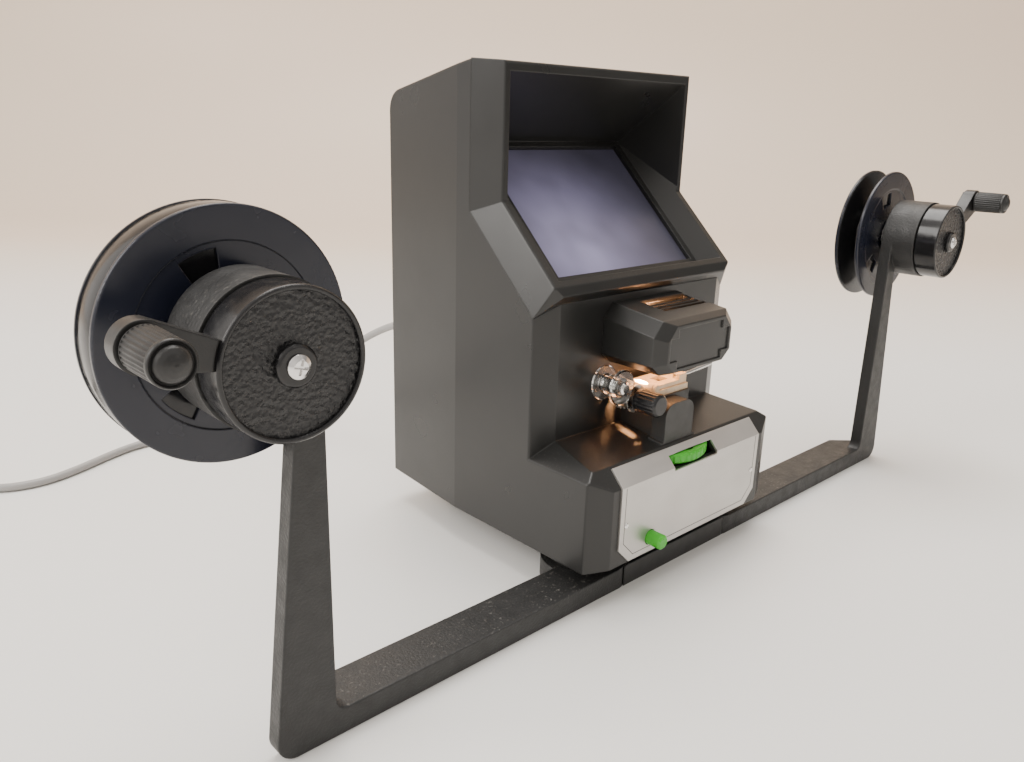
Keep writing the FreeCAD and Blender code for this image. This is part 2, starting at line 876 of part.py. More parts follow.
def name_plate():
    low, high = plate_low_z, base_crease_z
    outline = both_sides([
        (plate_half_width - plate_corner, low), (plate_half_width, low + plate_corner),
        (plate_half_width, high),
    ])
    flat = slab_y(outline, base_front - plate_thick, base_front)
    steep = math.atan2(base_top_front_z - base_crease_z, base_top_front_y - base_front)
    bend = plate_thick * math.tan((math.pi / 2 - steep) / 2)
    run_y, run_z = plate_strip * math.cos(steep), plate_strip * math.sin(steep)
    strip = slab_x([
        (base_front, high), (base_front - plate_thick, high),
        (base_front - plate_thick, high + bend),
        (base_front - plate_thick * math.sin(steep) + run_y,
         high + plate_thick * math.cos(steep) + run_z),
        (base_front + run_y, high + run_z),
    ], -plate_half_width, plate_half_width)
    slot = block(-slot_half_width, slot_half_width, base_front - 4 * plate_thick,
                 base_top_front_y + wall, slot_low_z, slot_high_z)
    hole = rod_y(button_radius + button_hole_gap, base_front - 2 * plate_thick,
                 base_front + plate_thick, button_x, button_z)
    pins = [rod_y(plate_pin_radius, base_front - 2 * plate_thick, base_front, x, z)
            for x, z in plate_pin_places]
    return flat.fuse(strip).removeSplitter().cut([slot, hole] + pins)


def plate_pins():
    pins = []
    for x, z in plate_pin_places:
        face_y = base_front - plate_thick
        pins.append(turned_y([
            (0, face_y - plate_pin_high), (plate_pin_radius * 0.7, face_y - plate_pin_high),
            (plate_pin_radius, face_y - plate_pin_high * 0.4), (plate_pin_radius, base_front + wall),
            (0, base_front + wall),
        ], x, z))
    return Part.makeCompound(pins)


# Hood and screen

def hood_form():
    return from_corners(
        {
            "seam_top": (body_half_width, seam_top_y, top_z),
            "seam_knee": (body_half_width, seam_top_y, seam_knee_z),
            "seam_low": (body_half_width, seam_low_y, seam_low_z),
            "rim_top": (rim_half_width, rim_top_y, rim_top_z),
            "rim_knee": (rim_half_width, rim_top_y, rim_knee_z),
            "rim_low": (rim_half_width, rim_low_y, rim_low_z),
            "lip": (lip_half_width, lip_y, lip_z),
            "wall": (recess_half_width, recess_y, lip_wall_z),
            "wall_back": (recess_half_width, seam_wall_y, lip_wall_z),
        },
        [
            ("seam_top", "rim_top", "rim_knee", "seam_knee"),
            ("seam_knee", "rim_knee", "rim_low", "seam_low"),
            ("seam_low", "rim_low", "lip"),
            ("seam_low", "lip", "wall"),
            ("seam_low", "wall", "wall_back"),
        ],
        [
            ("seam_top", "rim_top"),
            ("rim_top", "rim_knee"),
            ("rim_knee", "rim_low"),
            ("rim_low", "lip"),
            ("lip", "wall"),
            ("wall", "wall_back"),
            ("wall_back", "seam_low", "seam_knee"),
            ("seam_knee", "seam_top"),
        ],
    )


def hood_hollow():
    """Space between the hood's outer walls, drawn in from its corners on every side."""
    side = 1.4 * hood_wall
    deep = hood_wall
    low = recess_y + 1.5 * deep
    return from_corners(
        {
            "seam_top": (body_half_width - side, seam_top_y, top_z - deep),
            "seam_knee": (body_half_width - side, seam_top_y, seam_knee_z),
            "seam_low": (body_half_width - side, seam_low_y + side * slope_y,
                         seam_low_z + side * slope_z),
            "rim_top": (rim_half_width - side, rim_top_y + deep, rim_top_z - deep),
            "rim_knee": (rim_half_width - side, rim_top_y + deep,
                         rim_knee_z - deep * (1 - slope_z) / slope_y),
            "rim_low": (rim_half_width - side, rim_low_y + deep * (slope_y + slope_z),
                        rim_low_z + deep * (slope_z - slope_y)),
            "base": (recess_half_width - side, low, lip_wall_z + deep),
        },
        [
            ("seam_top", "rim_top", "rim_knee", "seam_knee"),
            ("seam_knee", "rim_knee", "rim_low", "seam_low"),
            ("seam_low", "rim_low", "base"),
        ],
        [
            ("seam_top", "rim_top"),
            ("rim_top", "rim_knee"),
            ("rim_knee", "rim_low"),
            ("rim_low", "base"),
            ("base", "seam_low"),
            ("seam_low", "seam_knee"),
            ("seam_knee", "seam_top"),
        ],
    )


def funnel_form(grow):
    """Space inside the hood, from just before its rim down to the ledge round the screen."""
    half = screen_half_width + screen_ledge + grow
    low = screen_ledge + grow
    high = screen_length + screen_ledge + grow
    opening = rim_half_width - rim_wall + grow
    ahead = hood_wall
    edge = rim_wall - grow
    screen_y = screen_low_y + grow * slope_z
    screen_z = screen_low_z - grow * slope_y
    return from_corners(
        {
            "top": (opening, rim_top_y - ahead, rim_top_z - edge),
            "knee": (opening, rim_top_y - ahead, rim_knee_z + ahead * (1 - slope_z) / slope_y),
            "low": (opening, rim_low_y + edge * slope_y - ahead * slope_z,
                    rim_low_z + edge * slope_z + ahead * slope_y),
            "screen_high": (half, screen_y + high * slope_y, screen_z + high * slope_z),
            "screen_low": (half, screen_y - low * slope_y, screen_z - low * slope_z),
        },
        [
            ("top", "knee", "screen_high"),
            ("knee", "low", "screen_high"),
            ("low", "screen_low", "screen_high"),
        ],
        [
            ("top", "screen_high"),
            ("top", "knee"),
            ("knee", "low"),
            ("low", "screen_low"),
            ("screen_low", "screen_high"),
        ],
    )


def rim_edge(edge):
    """Edges of the hood's rim and lip, away from its joint with the casing."""
    return all(abs(corner.X) < rim_half_width + same_place and corner.Z > lip_wall_z + same_place
               for corner in edge.Vertexes)


def on_screen(x_half, low, high, depth_low, depth_high):
    """Plate along the screen's slope, its depths measured back from the ledge."""
    plate = block(-x_half, x_half, low, high, -depth_high, -depth_low)
    return tilted(plate, slope_deg, screen_low_y, screen_low_z)


def screen_hood():
    """Double-walled hood: outer walls, and a funnel down to the ledge that frames the screen."""
    outer = rounded(hood_form(), edge_round, rim_edge)
    reach = 4 * rim_low_y
    air = slab_x([
        (rim_top_y - reach, top_z + reach), (rim_top_y, top_z + reach),
        (rim_top_y, rim_knee_z), (rim_low_y, rim_low_z), (lip_y, lip_z),
        (lip_y, lip_z - reach), (rim_top_y - reach, lip_z - reach),
    ], -body_half_width, body_half_width)
    lining = funnel_form(hood_wall).cut(air)
    window = on_screen(screen_half_width, 0, screen_length, -hood_wall, 2 * hood_wall)
    shell = outer.cut([hood_hollow(), light_doorway()]).fuse(lining)
    return shell.cut([funnel_form(0), window]).removeSplitter()


def viewing_screen():
    return on_screen(
        screen_half_width + screen_lap, -screen_lap, screen_length + screen_lap,
        hood_wall, hood_wall + screen_thick,
    )


# Projection lens and focus wheel

def lens_mount():
    ring = rod_z(barrel_radius + barrel_gap + mount_wall, mount_low_z, mount_high_z, 0, optic_y)
    outer = barrel_radius + barrel_gap + mount_wall
    legs = [block(side * outer - mount_leg / 2, side * outer + mount_leg / 2, optic_y - mount_leg,
                  optic_y + mount_leg, plate_top_z, mount_high_z - 2.0) for side in (-1, 1)]
    bore = rod_z(barrel_radius + barrel_gap, plate_top_z, mount_high_z, 0, optic_y)
    return joined([ring] + legs).cut(bore)


def lens_barrel():
    outer, inner = barrel_radius, lens_radius
    return turned_z([
        (inner, barrel_low_z), (outer - 0.6, barrel_low_z), (outer, barrel_low_z + 0.6),
        (outer, barrel_high_z - 0.6), (outer - 0.6, barrel_high_z), (inner - 1.5, barrel_high_z),
        (inner - 1.5, barrel_high_z - 1.5), (inner, barrel_high_z - 1.5),
    ], 0, optic_y)


def lens_glass():
    """Two thin lenses with curved faces, one near each end of the barrel."""
    lenses = []
    for low in (barrel_low_z + 2.0, barrel_high_z - 7.5):
        rim = [(0, low), (lens_radius * 0.5, low + 0.4), (lens_radius, low + 1.5),
               (lens_radius, low + 3.5), (lens_radius * 0.5, low + 4.6), (0, low + 5.0)]
        lenses.append(turned_z(rim, 0, optic_y))
    return Part.makeCompound(lenses)


def focus_wheel():
    low = mount_high_z + wheel_seat_gap
    bore = barrel_radius + barrel_gap
    wheel = turned_z([
        (bore, low), (wheel_hub_radius, low), (wheel_hub_radius, wheel_low_z),
        (wheel_radius - 1.0, wheel_low_z), (wheel_radius, wheel_low_z + 1.0),
        (wheel_radius, wheel_low_z + wheel_thick - 1.0),
        (wheel_radius - 1.0, wheel_low_z + wheel_thick), (bore, wheel_low_z + wheel_thick),
    ], 0, optic_y)
    flute = rod_z(wheel_flute_radius, low - 1.0, wheel_low_z + wheel_thick + 1.0,
                  wheel_radius + wheel_flute_radius - wheel_flute_deep, optic_y)
    flutes = [spun_z(flute, 360.0 * index / wheel_flutes, 0, optic_y)
              for index in range(wheel_flutes)]
    spokes = []
    for index in range(wheel_holes):
        hole = rod_z(wheel_hole_radius, low, wheel_low_z + wheel_thick,
                     (wheel_hub_radius + wheel_radius) / 2, optic_y)
        spokes.append(spun_z(hole, 360.0 * (index + 0.5) / wheel_holes, 0, optic_y))
    return wheel.cut(flutes + spokes)


# Lamp switch

def switch_button():
    front = base_front - button_reach
    back = base_front + wall + 0.3
    return turned_y([
        (0, front), (button_radius - 0.8, front), (button_radius, front + 0.8),
        (button_radius, back), (button_collar_radius, back),
        (button_collar_radius, back + button_collar), (button_stem_radius, back + button_collar),
        (button_stem_radius, back + button_collar + button_stem),
        (0, back + button_collar + button_stem),
    ], button_x, button_z)


def lamp_switch():
    rear = switch_front_y + switch_depth
    body = block(button_x - switch_half_x, button_x + switch_half_x, switch_front_y, rear,
                 plate_top_z, button_z + switch_half_z)
    bore = rod_y(button_stem_radius + 0.1, switch_front_y, rear - wall, button_x, button_z)
    tags = [block(button_x + offset - 1.2, button_x + offset + 1.2, rear, rear + 4.0,
                  button_z - 0.4, button_z + 0.4) for offset in (-4.0, 4.0)]
    return joined([body.cut(bore)] + tags)


def transformer():
    x1 = body_half_width - core_side_gap
    x0 = x1 - core_wide
    y0, y1 = core_front_y, core_rear_y
    core = block(x0, x1, y0, y1, plate_top_z, plate_top_z + core_high)
    coil = block(x0 + 6.0, x1 - 6.0, y0 - coil_bulge, y1 + coil_bulge, plate_top_z + 5.0,
                 plate_top_z + core_high - 5.0)
    corners = [edge for edge in coil.Edges if edge.BoundBox.YLength < 1e-6
               and edge.BoundBox.XLength < 1e-6]
    return core.fuse(coil.makeFillet(coil_bulge - 1.0, corners)).removeSplitter()


# Lamp housing

def lamp_section(y, half, low, high, inset):
    """Eight-cornered outline of the lamp housing at one distance from the front."""
    cut_x = lamp_corner_x
    top, bottom = lamp_corner_z, lamp_bottom_cut_z
    half, low, high = half - inset, low + inset, high - inset
    ease = 0.41 * inset
    points = [
        (half - cut_x + ease, low), (half, low + bottom - ease), (half, high - top + ease),
        (half - cut_x + ease, high),
    ]
    outline = [Vector(x, y, z) for x, z in both_sides(points)]
    return Part.makePolygon(outline + [outline[0]])


def lamp_form(inset):
    front_half = lamp_half_x - lamp_face_inset
    face_low = lamp_low_z + 1.0
    face_high = lamp_high_z - 2.0
    rear_high = lamp_high_z + lamp_rise
    sections = [
        lamp_section(lamp_face_y + inset, front_half, face_low, face_high, inset),
        lamp_section(lamp_front_y + inset, lamp_half_x, lamp_low_z, lamp_high_z, inset),
        lamp_section(recess_y, lamp_half_x, lamp_low_z, rear_high, inset),
    ]
    return Part.makeLoft(sections, True, True)


def lamp_housing():
    form = rounded(lamp_form(0), small_round, lambda edge: not lies_at(edge, "Y", recess_y))
    shell = form.cut(lamp_form(lamp_wall))
    front_half = lamp_half_x - lamp_face_inset - lamp_panel_margin
    panel = block(-front_half + lamp_corner_x, front_half - lamp_corner_x, lamp_face_y - 1.0,
                  lamp_face_y + lamp_panel_depth, lamp_low_z + 1.0 + lamp_panel_margin,
                  lamp_high_z - 2.0 - lamp_panel_margin)
    wide = block(-front_half, front_half, lamp_face_y - 1.0, lamp_face_y + lamp_panel_depth,
                 lamp_low_z + lamp_bottom_cut_z + lamp_panel_margin,
                 lamp_high_z - lamp_corner_z - 1.0)
    opening = block(vent_low_x, vent_high_x, vent_low_y, vent_high_y, lamp_high_z - 2 * lamp_wall,
                    lamp_high_z + 2 * lamp_rise)
    step = (vent_high_y - vent_low_y) / (vent_bars + 1.0)
    bars = [slab_x([
        (vent_low_y + step * index - vent_bar / 2, lamp_high_z - 0.5),
        (vent_low_y + step * index + vent_bar / 2, lamp_high_z - 0.5),
        (vent_low_y + step * index + vent_bar / 2, lamp_high_z + 1.2),
        (vent_low_y + step * index - vent_bar / 2, lamp_high_z + 1.2),
    ], vent_low_x - 1.0, vent_high_x + 1.0) for index in range(1, vent_bars + 1)]
    hole = rod_z(condenser_radius, lamp_low_z - 1.0, lamp_low_z + 2 * lamp_wall, 0, film_y)
    return shell.cut([panel.fuse(wide), opening, hole]).fuse(bars).removeSplitter()


def condenser_lens():
    low = lamp_low_z - condenser_drop
    radius = condenser_radius
    return turned_z([
        (0, low), (radius * 0.55, low + 0.5), (radius, low + 1.6),
        (radius, low + condenser_thick - 0.6), (0, low + condenser_thick),
    ], 0, film_y)


def lamp_socket():
    front = recess_y - socket_long
    shell = turned_y([
        (bulb_neck_radius, front), (socket_radius, front), (socket_radius, recess_y),
        (0, recess_y), (0, recess_y - 2.0), (bulb_neck_radius, recess_y - 2.0),
    ], 0, bulb_z)
    return shell


def lamp_bulb():
    steps = 6
    dome = [(bulb_radius * math.sin(math.pi / 2 * index / steps),
             bulb_y - bulb_radius * math.cos(math.pi / 2 * index / steps))
            for index in range(steps + 1)]
    neck = [(bulb_neck_radius, bulb_y + bulb_radius * 0.8), (bulb_neck_radius, recess_y - 2.0),
            (0, recess_y - 2.0)]
    return turned_y(dome + neck, 0, bulb_z)


# Film path

def base_top_z(y):
    return base_top_front_z + (y - base_top_front_y) * base_top_slope


def gate_block():
    low_front, low_rear = base_top_z(block_front_y), base_top_rear_z
    main = slab_x([
        (block_front_y, low_front), (block_front_y, gate_z), (recess_y, gate_z),
        (recess_y, low_rear),
    ], -block_half_x, block_half_x)
    x0, x1 = tab_x - tab_half_x, tab_x + tab_half_x
    tab = slab_x([
        (tab_front_y, base_top_z(tab_front_y)), (tab_front_y, tab_top_z),
        (block_front_y, tab_top_z), (block_front_y, low_front),
    ], x0, x1)
    shoulders = [edge for edge in tab.Edges
                 if edge.BoundBox.XLength < 1e-6 and edge.BoundBox.ZLength < 1e-6
                 and abs(edge.BoundBox.ZMin - tab_top_z) < 1e-6]
    tab = tab.makeFillet(tab_round, shoulders)
    foot = slab_x([
        (tab_front_y, base_top_z(tab_front_y)),
        (tab_front_y, base_top_z(tab_front_y) + tab_foot_thick),
        (block_front_y, low_front + tab_foot_thick), (block_front_y, low_front),
    ], tab_x - tab_foot_half_x, tab_x + tab_foot_half_x)
    groove = block(tab_x - tab_groove / 2, tab_x + tab_groove / 2, tab_front_y - 1.0,
                   tab_front_y + tab_groove, low_front + tab_groove, tab_top_z)
    room = rod_y(prism_room_radius, block_front_y + wall, recess_y, 0, prism_z)
    light = rod_z(light_radius, base_top_front_z, gate_z, 0, film_y)
    return joined([main, tab, foot]).cut([room, light])


def film_gate():
    half_y = gate_half_y
    plate = block(-gate_half_x, gate_half_x, film_y - half_y, film_y + half_y, gate_z,
                  gate_z + gate_thick)
    top = gate_z + gate_thick
    edge = film_width / 2 + 0.2
    rails = [block(-gate_half_x, gate_half_x, film_y + edge, film_y + half_y, top,
                   top + rail_high),
             block(-gate_half_x, gate_half_x, film_y - half_y, film_y - edge, top,
                   top + rail_high)]
    ears = []
    for y in (film_y - half_y, film_y + half_y - ear_thick):
        ears.append(block(hinge_x - hinge_eye_radius, hinge_x + hinge_eye_radius, y, y + ear_thick,
                          top, hinge_z))
        ears.append(rod_y(hinge_eye_radius, y, y + ear_thick, hinge_x, hinge_z))
    pin = rod_y(hinge_pin_radius, film_y - half_y, film_y + half_y, hinge_x, hinge_z)
    window = block(-2.5, 2.5, film_y - 2.0, film_y + 2.0, gate_z, top)
    eye_half = gate_half_y - ear_thick
    eye_room = rod_y(hinge_eye_radius + pressure_gap, film_y - eye_half, film_y + eye_half,
                     hinge_x, hinge_z)
    rails = [rail.cut(eye_room) for rail in rails]
    return joined([plate.cut(window), pin] + rails + ears)


def pressure_plate():
    low = gate_z + gate_thick + rail_high + pressure_gap
    high = low + pressure_thick
    half_y = gate_half_y - 0.5
    start = hinge_x + hinge_eye_radius + 0.4
    plate = block(start, pressure_half_x, film_y - half_y, film_y + half_y, low, high)
    inner = gate_half_y - ear_thick - 0.3
    eye = rod_y(hinge_eye_radius, film_y - inner, film_y + inner, hinge_x, hinge_z)
    web = block(hinge_x, start, film_y - inner, film_y + inner, low, high)
    lug = block(lever_lug_x, pressure_half_x, film_y - half_y, film_y - half_y + lever_lug_deep,
                high, lever_z + lever_radius + 0.2)
    bore = rod_y(hinge_pin_radius + hinge_gap, film_y - inner, film_y + inner, hinge_x, hinge_z)
    window = block(-3.5, 3.5, film_y - 3.0, film_y + 3.0, low, high)
    lever = rod_x(lever_radius, lever_lug_x, pressure_half_x, lever_y, lever_z)
    return joined([plate, eye, web, lug]).cut([bore, window, lever])


def gate_lever():
    """Bright rod that lifts the pressure plate, with a slight kink upwards."""
    root = rod_x(lever_radius, lever_lug_x, lever_kink_x, lever_y, lever_z)
    ball = Part.makeSphere(lever_radius, Vector(lever_kink_x, lever_y, lever_z))
    direction = Vector(lever_tip_x - lever_kink_x, 0, lever_tip_rise)
    tip = Part.makeCylinder(lever_radius, direction.Length,
                            Vector(lever_kink_x, lever_y, lever_z), direction)
    end = Part.makeSphere(lever_radius, Vector(lever_tip_x, lever_y, lever_z + lever_tip_rise))
    return root.fuse([ball, tip, end])


def prism():
    glass = block(-prism_half, prism_half, film_y - prism_y_half, film_y + prism_y_half,
                  prism_z - prism_half, prism_z + prism_half)
    cap = rod_y(prism_half, film_y + prism_y_half, film_y + prism_y_half + 1.2, 0, prism_z)
    shaft = rod_y(shaft_radius, film_y + prism_y_half, gear_rear_y + 0.5, 0, prism_z)
    return joined([glass, cap, shaft])


def gear(x, z, first_deg):
    """Spur gear with straight-sided teeth that thin out towards their tips."""
    module = 2.0 * gear_pitch_radius / gear_teeth
    tip = gear_pitch_radius + module * (1.0 - gear_clearance / 2)
    root = gear_pitch_radius - module * (1.0 + gear_clearance)
    half = math.pi * module / 4.0 - gear_backlash / 2.0
    flank = math.tan(math.radians(gear_pressure_deg))
    half_tip = half - (tip - gear_pitch_radius) * flank
    half_root = half + (gear_pitch_radius - root) * flank
    points = []
    for index in range(gear_teeth):
        middle = math.radians(first_deg + 360.0 * index / gear_teeth)
        for radius, across in ((root, -half_root), (tip, -half_tip), (tip, half_tip),
                               (root, half_root)):
            angle = middle + across / radius
            points.append((x + radius * math.cos(angle), z + radius * math.sin(angle)))
    blank = slab_y(points, gear_front_y, gear_rear_y)
    hub = rod_y(gear_hub_radius, gear_rear_y, gear_rear_y + gear_hub, x, z)
    bore = rod_y(shaft_radius, gear_front_y, gear_rear_y + gear_hub, x, z)
    return blank.fuse(hub).cut(bore)


def film_sprocket():
    y0, y1 = sprocket_front_y, sprocket_rear_y
    body = turned_y([
        (0, y0), (sprocket_flange_radius, y0), (sprocket_flange_radius, y0 + sprocket_flange),
        (sprocket_radius, y0 + sprocket_flange), (sprocket_radius, y1 - sprocket_flange),
        (sprocket_flange_radius, y1 - sprocket_flange), (sprocket_flange_radius, y1), (0, y1),
    ], sprocket_x, sprocket_z)
    shaft = rod_y(shaft_radius, knob_front_y + wall, gear_rear_y + gear_hub, sprocket_x,
                  sprocket_z)
    tooth = slab_x([
        (tooth_y - 0.6, sprocket_z), (tooth_y + 0.6, sprocket_z),
        (tooth_y + 0.4, sprocket_z + sprocket_radius + sprocket_tooth_high),
        (tooth_y - 0.4, sprocket_z + sprocket_radius + sprocket_tooth_high),
    ], sprocket_x - 0.5, sprocket_x + 0.5)
    teeth = [spun_y(tooth, 360.0 * index / sprocket_teeth, sprocket_x, sprocket_z)
             for index in range(sprocket_teeth)]
    return joined([body, shaft] + teeth)


def sprocket_knob():
    knob = turned_y([
        (0, knob_front_y), (knob_radius - 1.2, knob_front_y), (knob_radius, knob_front_y + 1.2),
        (knob_radius, knob_rear_y), (0, knob_rear_y),
    ], sprocket_x, sprocket_z)
    flute = rod_y(knob_flute_radius, knob_front_y - 1.0, knob_rear_y - 2.0,
                  sprocket_x + knob_radius + knob_flute_radius * 0.4, sprocket_z)
    flutes = [spun_y(flute, 360.0 * index / knob_flutes, sprocket_x, sprocket_z)
              for index in range(knob_flutes)]
    bore = rod_y(shaft_radius, knob_front_y + wall, knob_rear_y, sprocket_x, sprocket_z)
    return knob.cut(flutes + [bore])


def guide_roller():
    y0, y1 = roller_front_y, roller_rear_y
    core, flange = roller_core_radius, roller_flange_radius
    bore = shaft_radius + shaft_gap
    return turned_y([
        (bore, y0), (flange - 0.5, y0), (flange, y0 + 0.5), (flange, y0 + roller_flange),
        (core, y0 + roller_flange + 0.6), (core, y1 - roller_flange - 0.6),
        (flange, y1 - roller_flange), (flange, y1 - 0.5), (flange - 0.5, y1), (bore, y1),
    ], roller_x, roller_z)


def roller_shaft():
    head_rear = roller_front_y - roller_side_gap
    front = head_rear - roller_head
    profile = [
        (0, front), (roller_head_radius * 0.7, front), (roller_head_radius, front + 0.6),
        (roller_head_radius, head_rear), (shaft_radius, head_rear),
        (shaft_radius, roller_rear_y + roller_side_gap),
        (roller_head_radius, roller_rear_y + roller_side_gap), (roller_head_radius, recess_y),
        (shaft_radius, recess_y), (shaft_radius, inner_wall_y + 2.0), (0, inner_wall_y + 2.0),
    ]
    return turned_y(profile, roller_x, roller_z)


# Arms

def arm():
    """Right arm: bar with its pivot eye, post, and the round housing of the crank."""
    side = slab_y([
        (pivot_x - pivot_radius, 0), (arm_end_x, 0), (post_outer_top_x, post_top_z),
        (post_inner_x, axis_z), (post_inner_x, arm_high), (pivot_x - pivot_radius, arm_high),
    ], 0, arm_deep + pivot_radius)
    side = rounded(side, arm_corner_round, lambda edge: lies_at(edge, "X", arm_end_x)
                   and lies_at(edge, "Z", 0))
    side = rounded(side, arm_inner_round, lambda edge: lies_at(edge, "X", post_inner_x)
                   and lies_at(edge, "Z", arm_high))
    side = rounded(side, small_round, lambda edge: lies_at(edge, "Y", 0)
                   and edge.BoundBox.XMax > pivot_x)
    bar = slab_z([
        (pivot_x, 0), (arm_end_x, 0), (arm_end_x, post_thick), (chamfer_end_x, post_thick),
        (chamfer_start_x, arm_deep), (pivot_x, arm_deep),
    ], 0, arm_high)
    eye = rod_z(pivot_radius, 0, arm_high, pivot_x, pivot_y)
    upright_part = block(chamfer_start_x - arm_deep, arm_end_x, 0, post_thick, 0, axis_z)
    solid = side.common(joined([bar, eye, upright_part]))
    drum = rod_y(ring_radius, ring_front_y, post_thick, axis_x, axis_z)
    hollow = ring_y(ring_radius - drum_wall, ring_hub_radius, ring_front_y - 1.0,
                    post_thick - ring_floor, axis_x, axis_z)
    bore = rod_y(bush_radius, ring_front_y, post_thick, axis_x, axis_z)
    hole = rod_z(pivot_pin_radius + bush_gap, 0, arm_high, pivot_x, pivot_y)
    sink = rod_z(pivot_head_radius + pivot_gap, 0, pivot_lift + pivot_head + pivot_gap,
                 pivot_x, pivot_y)
    return solid.fuse(drum).removeSplitter().cut([hollow, bore, hole, sink])


def arm_bush():
    inner = spindle_radius + spindle_gap
    return ring_y(bush_radius, inner, ring_front_y, post_thick, axis_x, axis_z)


def pivot_screws():
    low = pivot_lift
    top = plate_top_z + pivot_nut_high - wall
    body = turned_z([
        (0, low), (pivot_head_radius - 0.8, low), (pivot_head_radius, low + 0.8),
        (pivot_head_radius, low + pivot_head), (pivot_pin_radius, low + pivot_head),
        (pivot_pin_radius, top), (0, top),
    ], pivot_x, pivot_y)
    slot = block(pivot_x - pivot_head_radius, pivot_x + pivot_head_radius, pivot_y - 0.8,
                 pivot_y + 0.8, low, low + 1.4)
    return pair(body.cut(slot))


# Cranks, made for the right side with the grip straight out along +X

def spindle():
    front = face_rear_y
    body = turned_y([
        (0, front), (spindle_radius, front), (spindle_radius, shoulder_front_y),
        (shoulder_radius - 0.8, shoulder_front_y), (shoulder_radius, shoulder_front_y + 0.8),
        (shoulder_radius, shoulder_rear_y), (spindle_radius, shoulder_rear_y),
        (spindle_radius, reel_rear_y + spindle_tip_gap - 0.2),
        (spindle_tip_radius, reel_rear_y + spindle_tip_gap),
        (spindle_tip_radius, spindle_end_y - 3.0), (spindle_radius - 1.6, spindle_end_y),
        (0, spindle_end_y),
    ], axis_x, axis_z)
    keys = []
    for index in range(3):
        key = block(axis_x + spindle_radius - 1.0, axis_x + spindle_radius + key_high,
                    key_front_y, key_front_y + key_length, axis_z - key_half, axis_z + key_half)
        keys.append(spun_y(key, 120.0 * index + key_first_deg, axis_x, axis_z))
    screw_hole = rod_y(drum_screw_shank, front, front + drum_screw_deep, axis_x, axis_z)
    return joined([body] + keys).cut(screw_hole)


def crank_drum():
    outer, inner = drum_radius, drum_radius - drum_wall
    seat = drum_radius - drum_rim_wide
    face_y = drum_front_y + drum_rim_high
    web_rear = face_rear_y + drum_wall
    collar_front = face_y - collar_high
    return turned_y([
        (drum_screw_shank, collar_front), (collar_radius - 0.7, collar_front),
        (collar_radius, collar_front + 0.7), (collar_radius, face_rear_y), (seat, face_rear_y),
        (seat, drum_front_y + 0.4), (seat + 0.4, drum_front_y), (outer - 0.5, drum_front_y),
        (outer, drum_front_y + 0.5), (outer, ring_gap_y), (inner, ring_gap_y),
        (inner, web_rear), (drum_hub_radius, web_rear), (drum_hub_radius, ring_gap_y),
        (spindle_radius, ring_gap_y), (spindle_radius, face_rear_y),
        (drum_screw_shank, face_rear_y),
    ], axis_x, axis_z)


def drum_face():
    face_y = drum_front_y + drum_rim_high
    return ring_y(drum_radius - drum_rim_wide, collar_radius, face_y, face_rear_y, axis_x, axis_z)


def drum_screw():
    seat = drum_front_y + drum_rim_high - collar_high
    deep = face_rear_y + drum_screw_deep - seat
    return screw(axis_x, axis_z, seat, -1, drum_screw_shank, drum_screw_radius, 1.5, deep)


def crank_lever():
    """Tapered lever with a round end and the fixed pin that the grip turns on."""
    root_x = axis_x + drum_radius * 0.9
    end_x = axis_x + crank_throw
    blade = slab_y([
        (root_x, axis_z - lever_root_half), (end_x, axis_z - lever_tip_half),
        (end_x, axis_z + lever_tip_half), (root_x, axis_z + lever_root_half),
    ], lever_front_y, lever_rear_y)
    boss = turned_y([
        (0, lever_front_y), (lever_tip_half, lever_front_y), (lever_tip_half, lever_rear_y - 0.8),
        (lever_tip_half - 0.8, lever_rear_y), (0, lever_rear_y),
    ], end_x, axis_z)
    pin = rod_y(grip_pin_radius, grip_end_y + grip_wall_end, lever_front_y, end_x, axis_z)
    head = rod_y(grip_pin_radius + 0.8, grip_end_y + grip_wall_end - 1.2,
                 grip_end_y + grip_wall_end, end_x, axis_z)
    drum = rod_y(drum_radius, drum_front_y, ring_front_y, axis_x, axis_z)
    return joined([blade, boss, pin, head]).cut(drum)


def grip():
    """Grip with a plain rear band, fluted middle, rim and domed cap; hollow at its front end."""
    rear = lever_front_y - grip_gap
    front = grip_end_y
    x, z = axis_x + crank_throw, axis_z
    radius, small = grip_radius, grip_radius - grip_taper
    cap = small - 1.0
    room_front = front + grip_wall_end - 1.2 - grip_gap
    room_rear = front + grip_wall_end + grip_gap
    bore = grip_pin_radius + grip_bore_gap
    room = grip_pin_radius + 0.8 + grip_gap
    steps = 5
    dome = [(cap * math.sin(math.pi / 2 * index / steps),
             front - grip_dome * (math.cos(math.pi / 2 * index / steps) - 0.35))
            for index in range(steps + 1)]
    body = turned_y(dome + [
        (cap + 0.2, front + 0.6), (small - 0.4, front), (small, front + 0.5),
        (radius - 0.3, rear - 0.8), (radius - 0.6, rear), (0, rear),
    ], x, z)
    hollow = turned_y([
        (0, room_front), (room, room_front), (room, room_rear), (bore, room_rear),
        (bore, rear), (0, rear),
    ], x, z)
    flute = rod_y(grip_flute_radius, front + 1.5, rear - 1.2, x + radius - 0.1, z)
    flute.rotate(Vector(x + radius - 0.1, rear, z), Vector(0, 0, 1), grip_flute_lean)
    flutes = [spun_y(flute, 360.0 * index / grip_flutes, x, z) for index in range(grip_flutes)]
    return body.cut([hollow] + flutes)


def reel_core(first_window, turn):
    """Hub with its keyed bore and the rear flange with three windows."""
    rear = reel_rear_y
    front = reel_front_y + flange_thick
    hub = rod_y(reel_core_radius, front, rear - flange_thick, axis_x, axis_z)
    flange = reel_disc(rear - flange_thick, rear, rear, first_window)
    bore = spun_y(reel_bore(front, rear), turn, axis_x, axis_z)
    return hub.fuse(flange).cut(bore).removeSplitter()


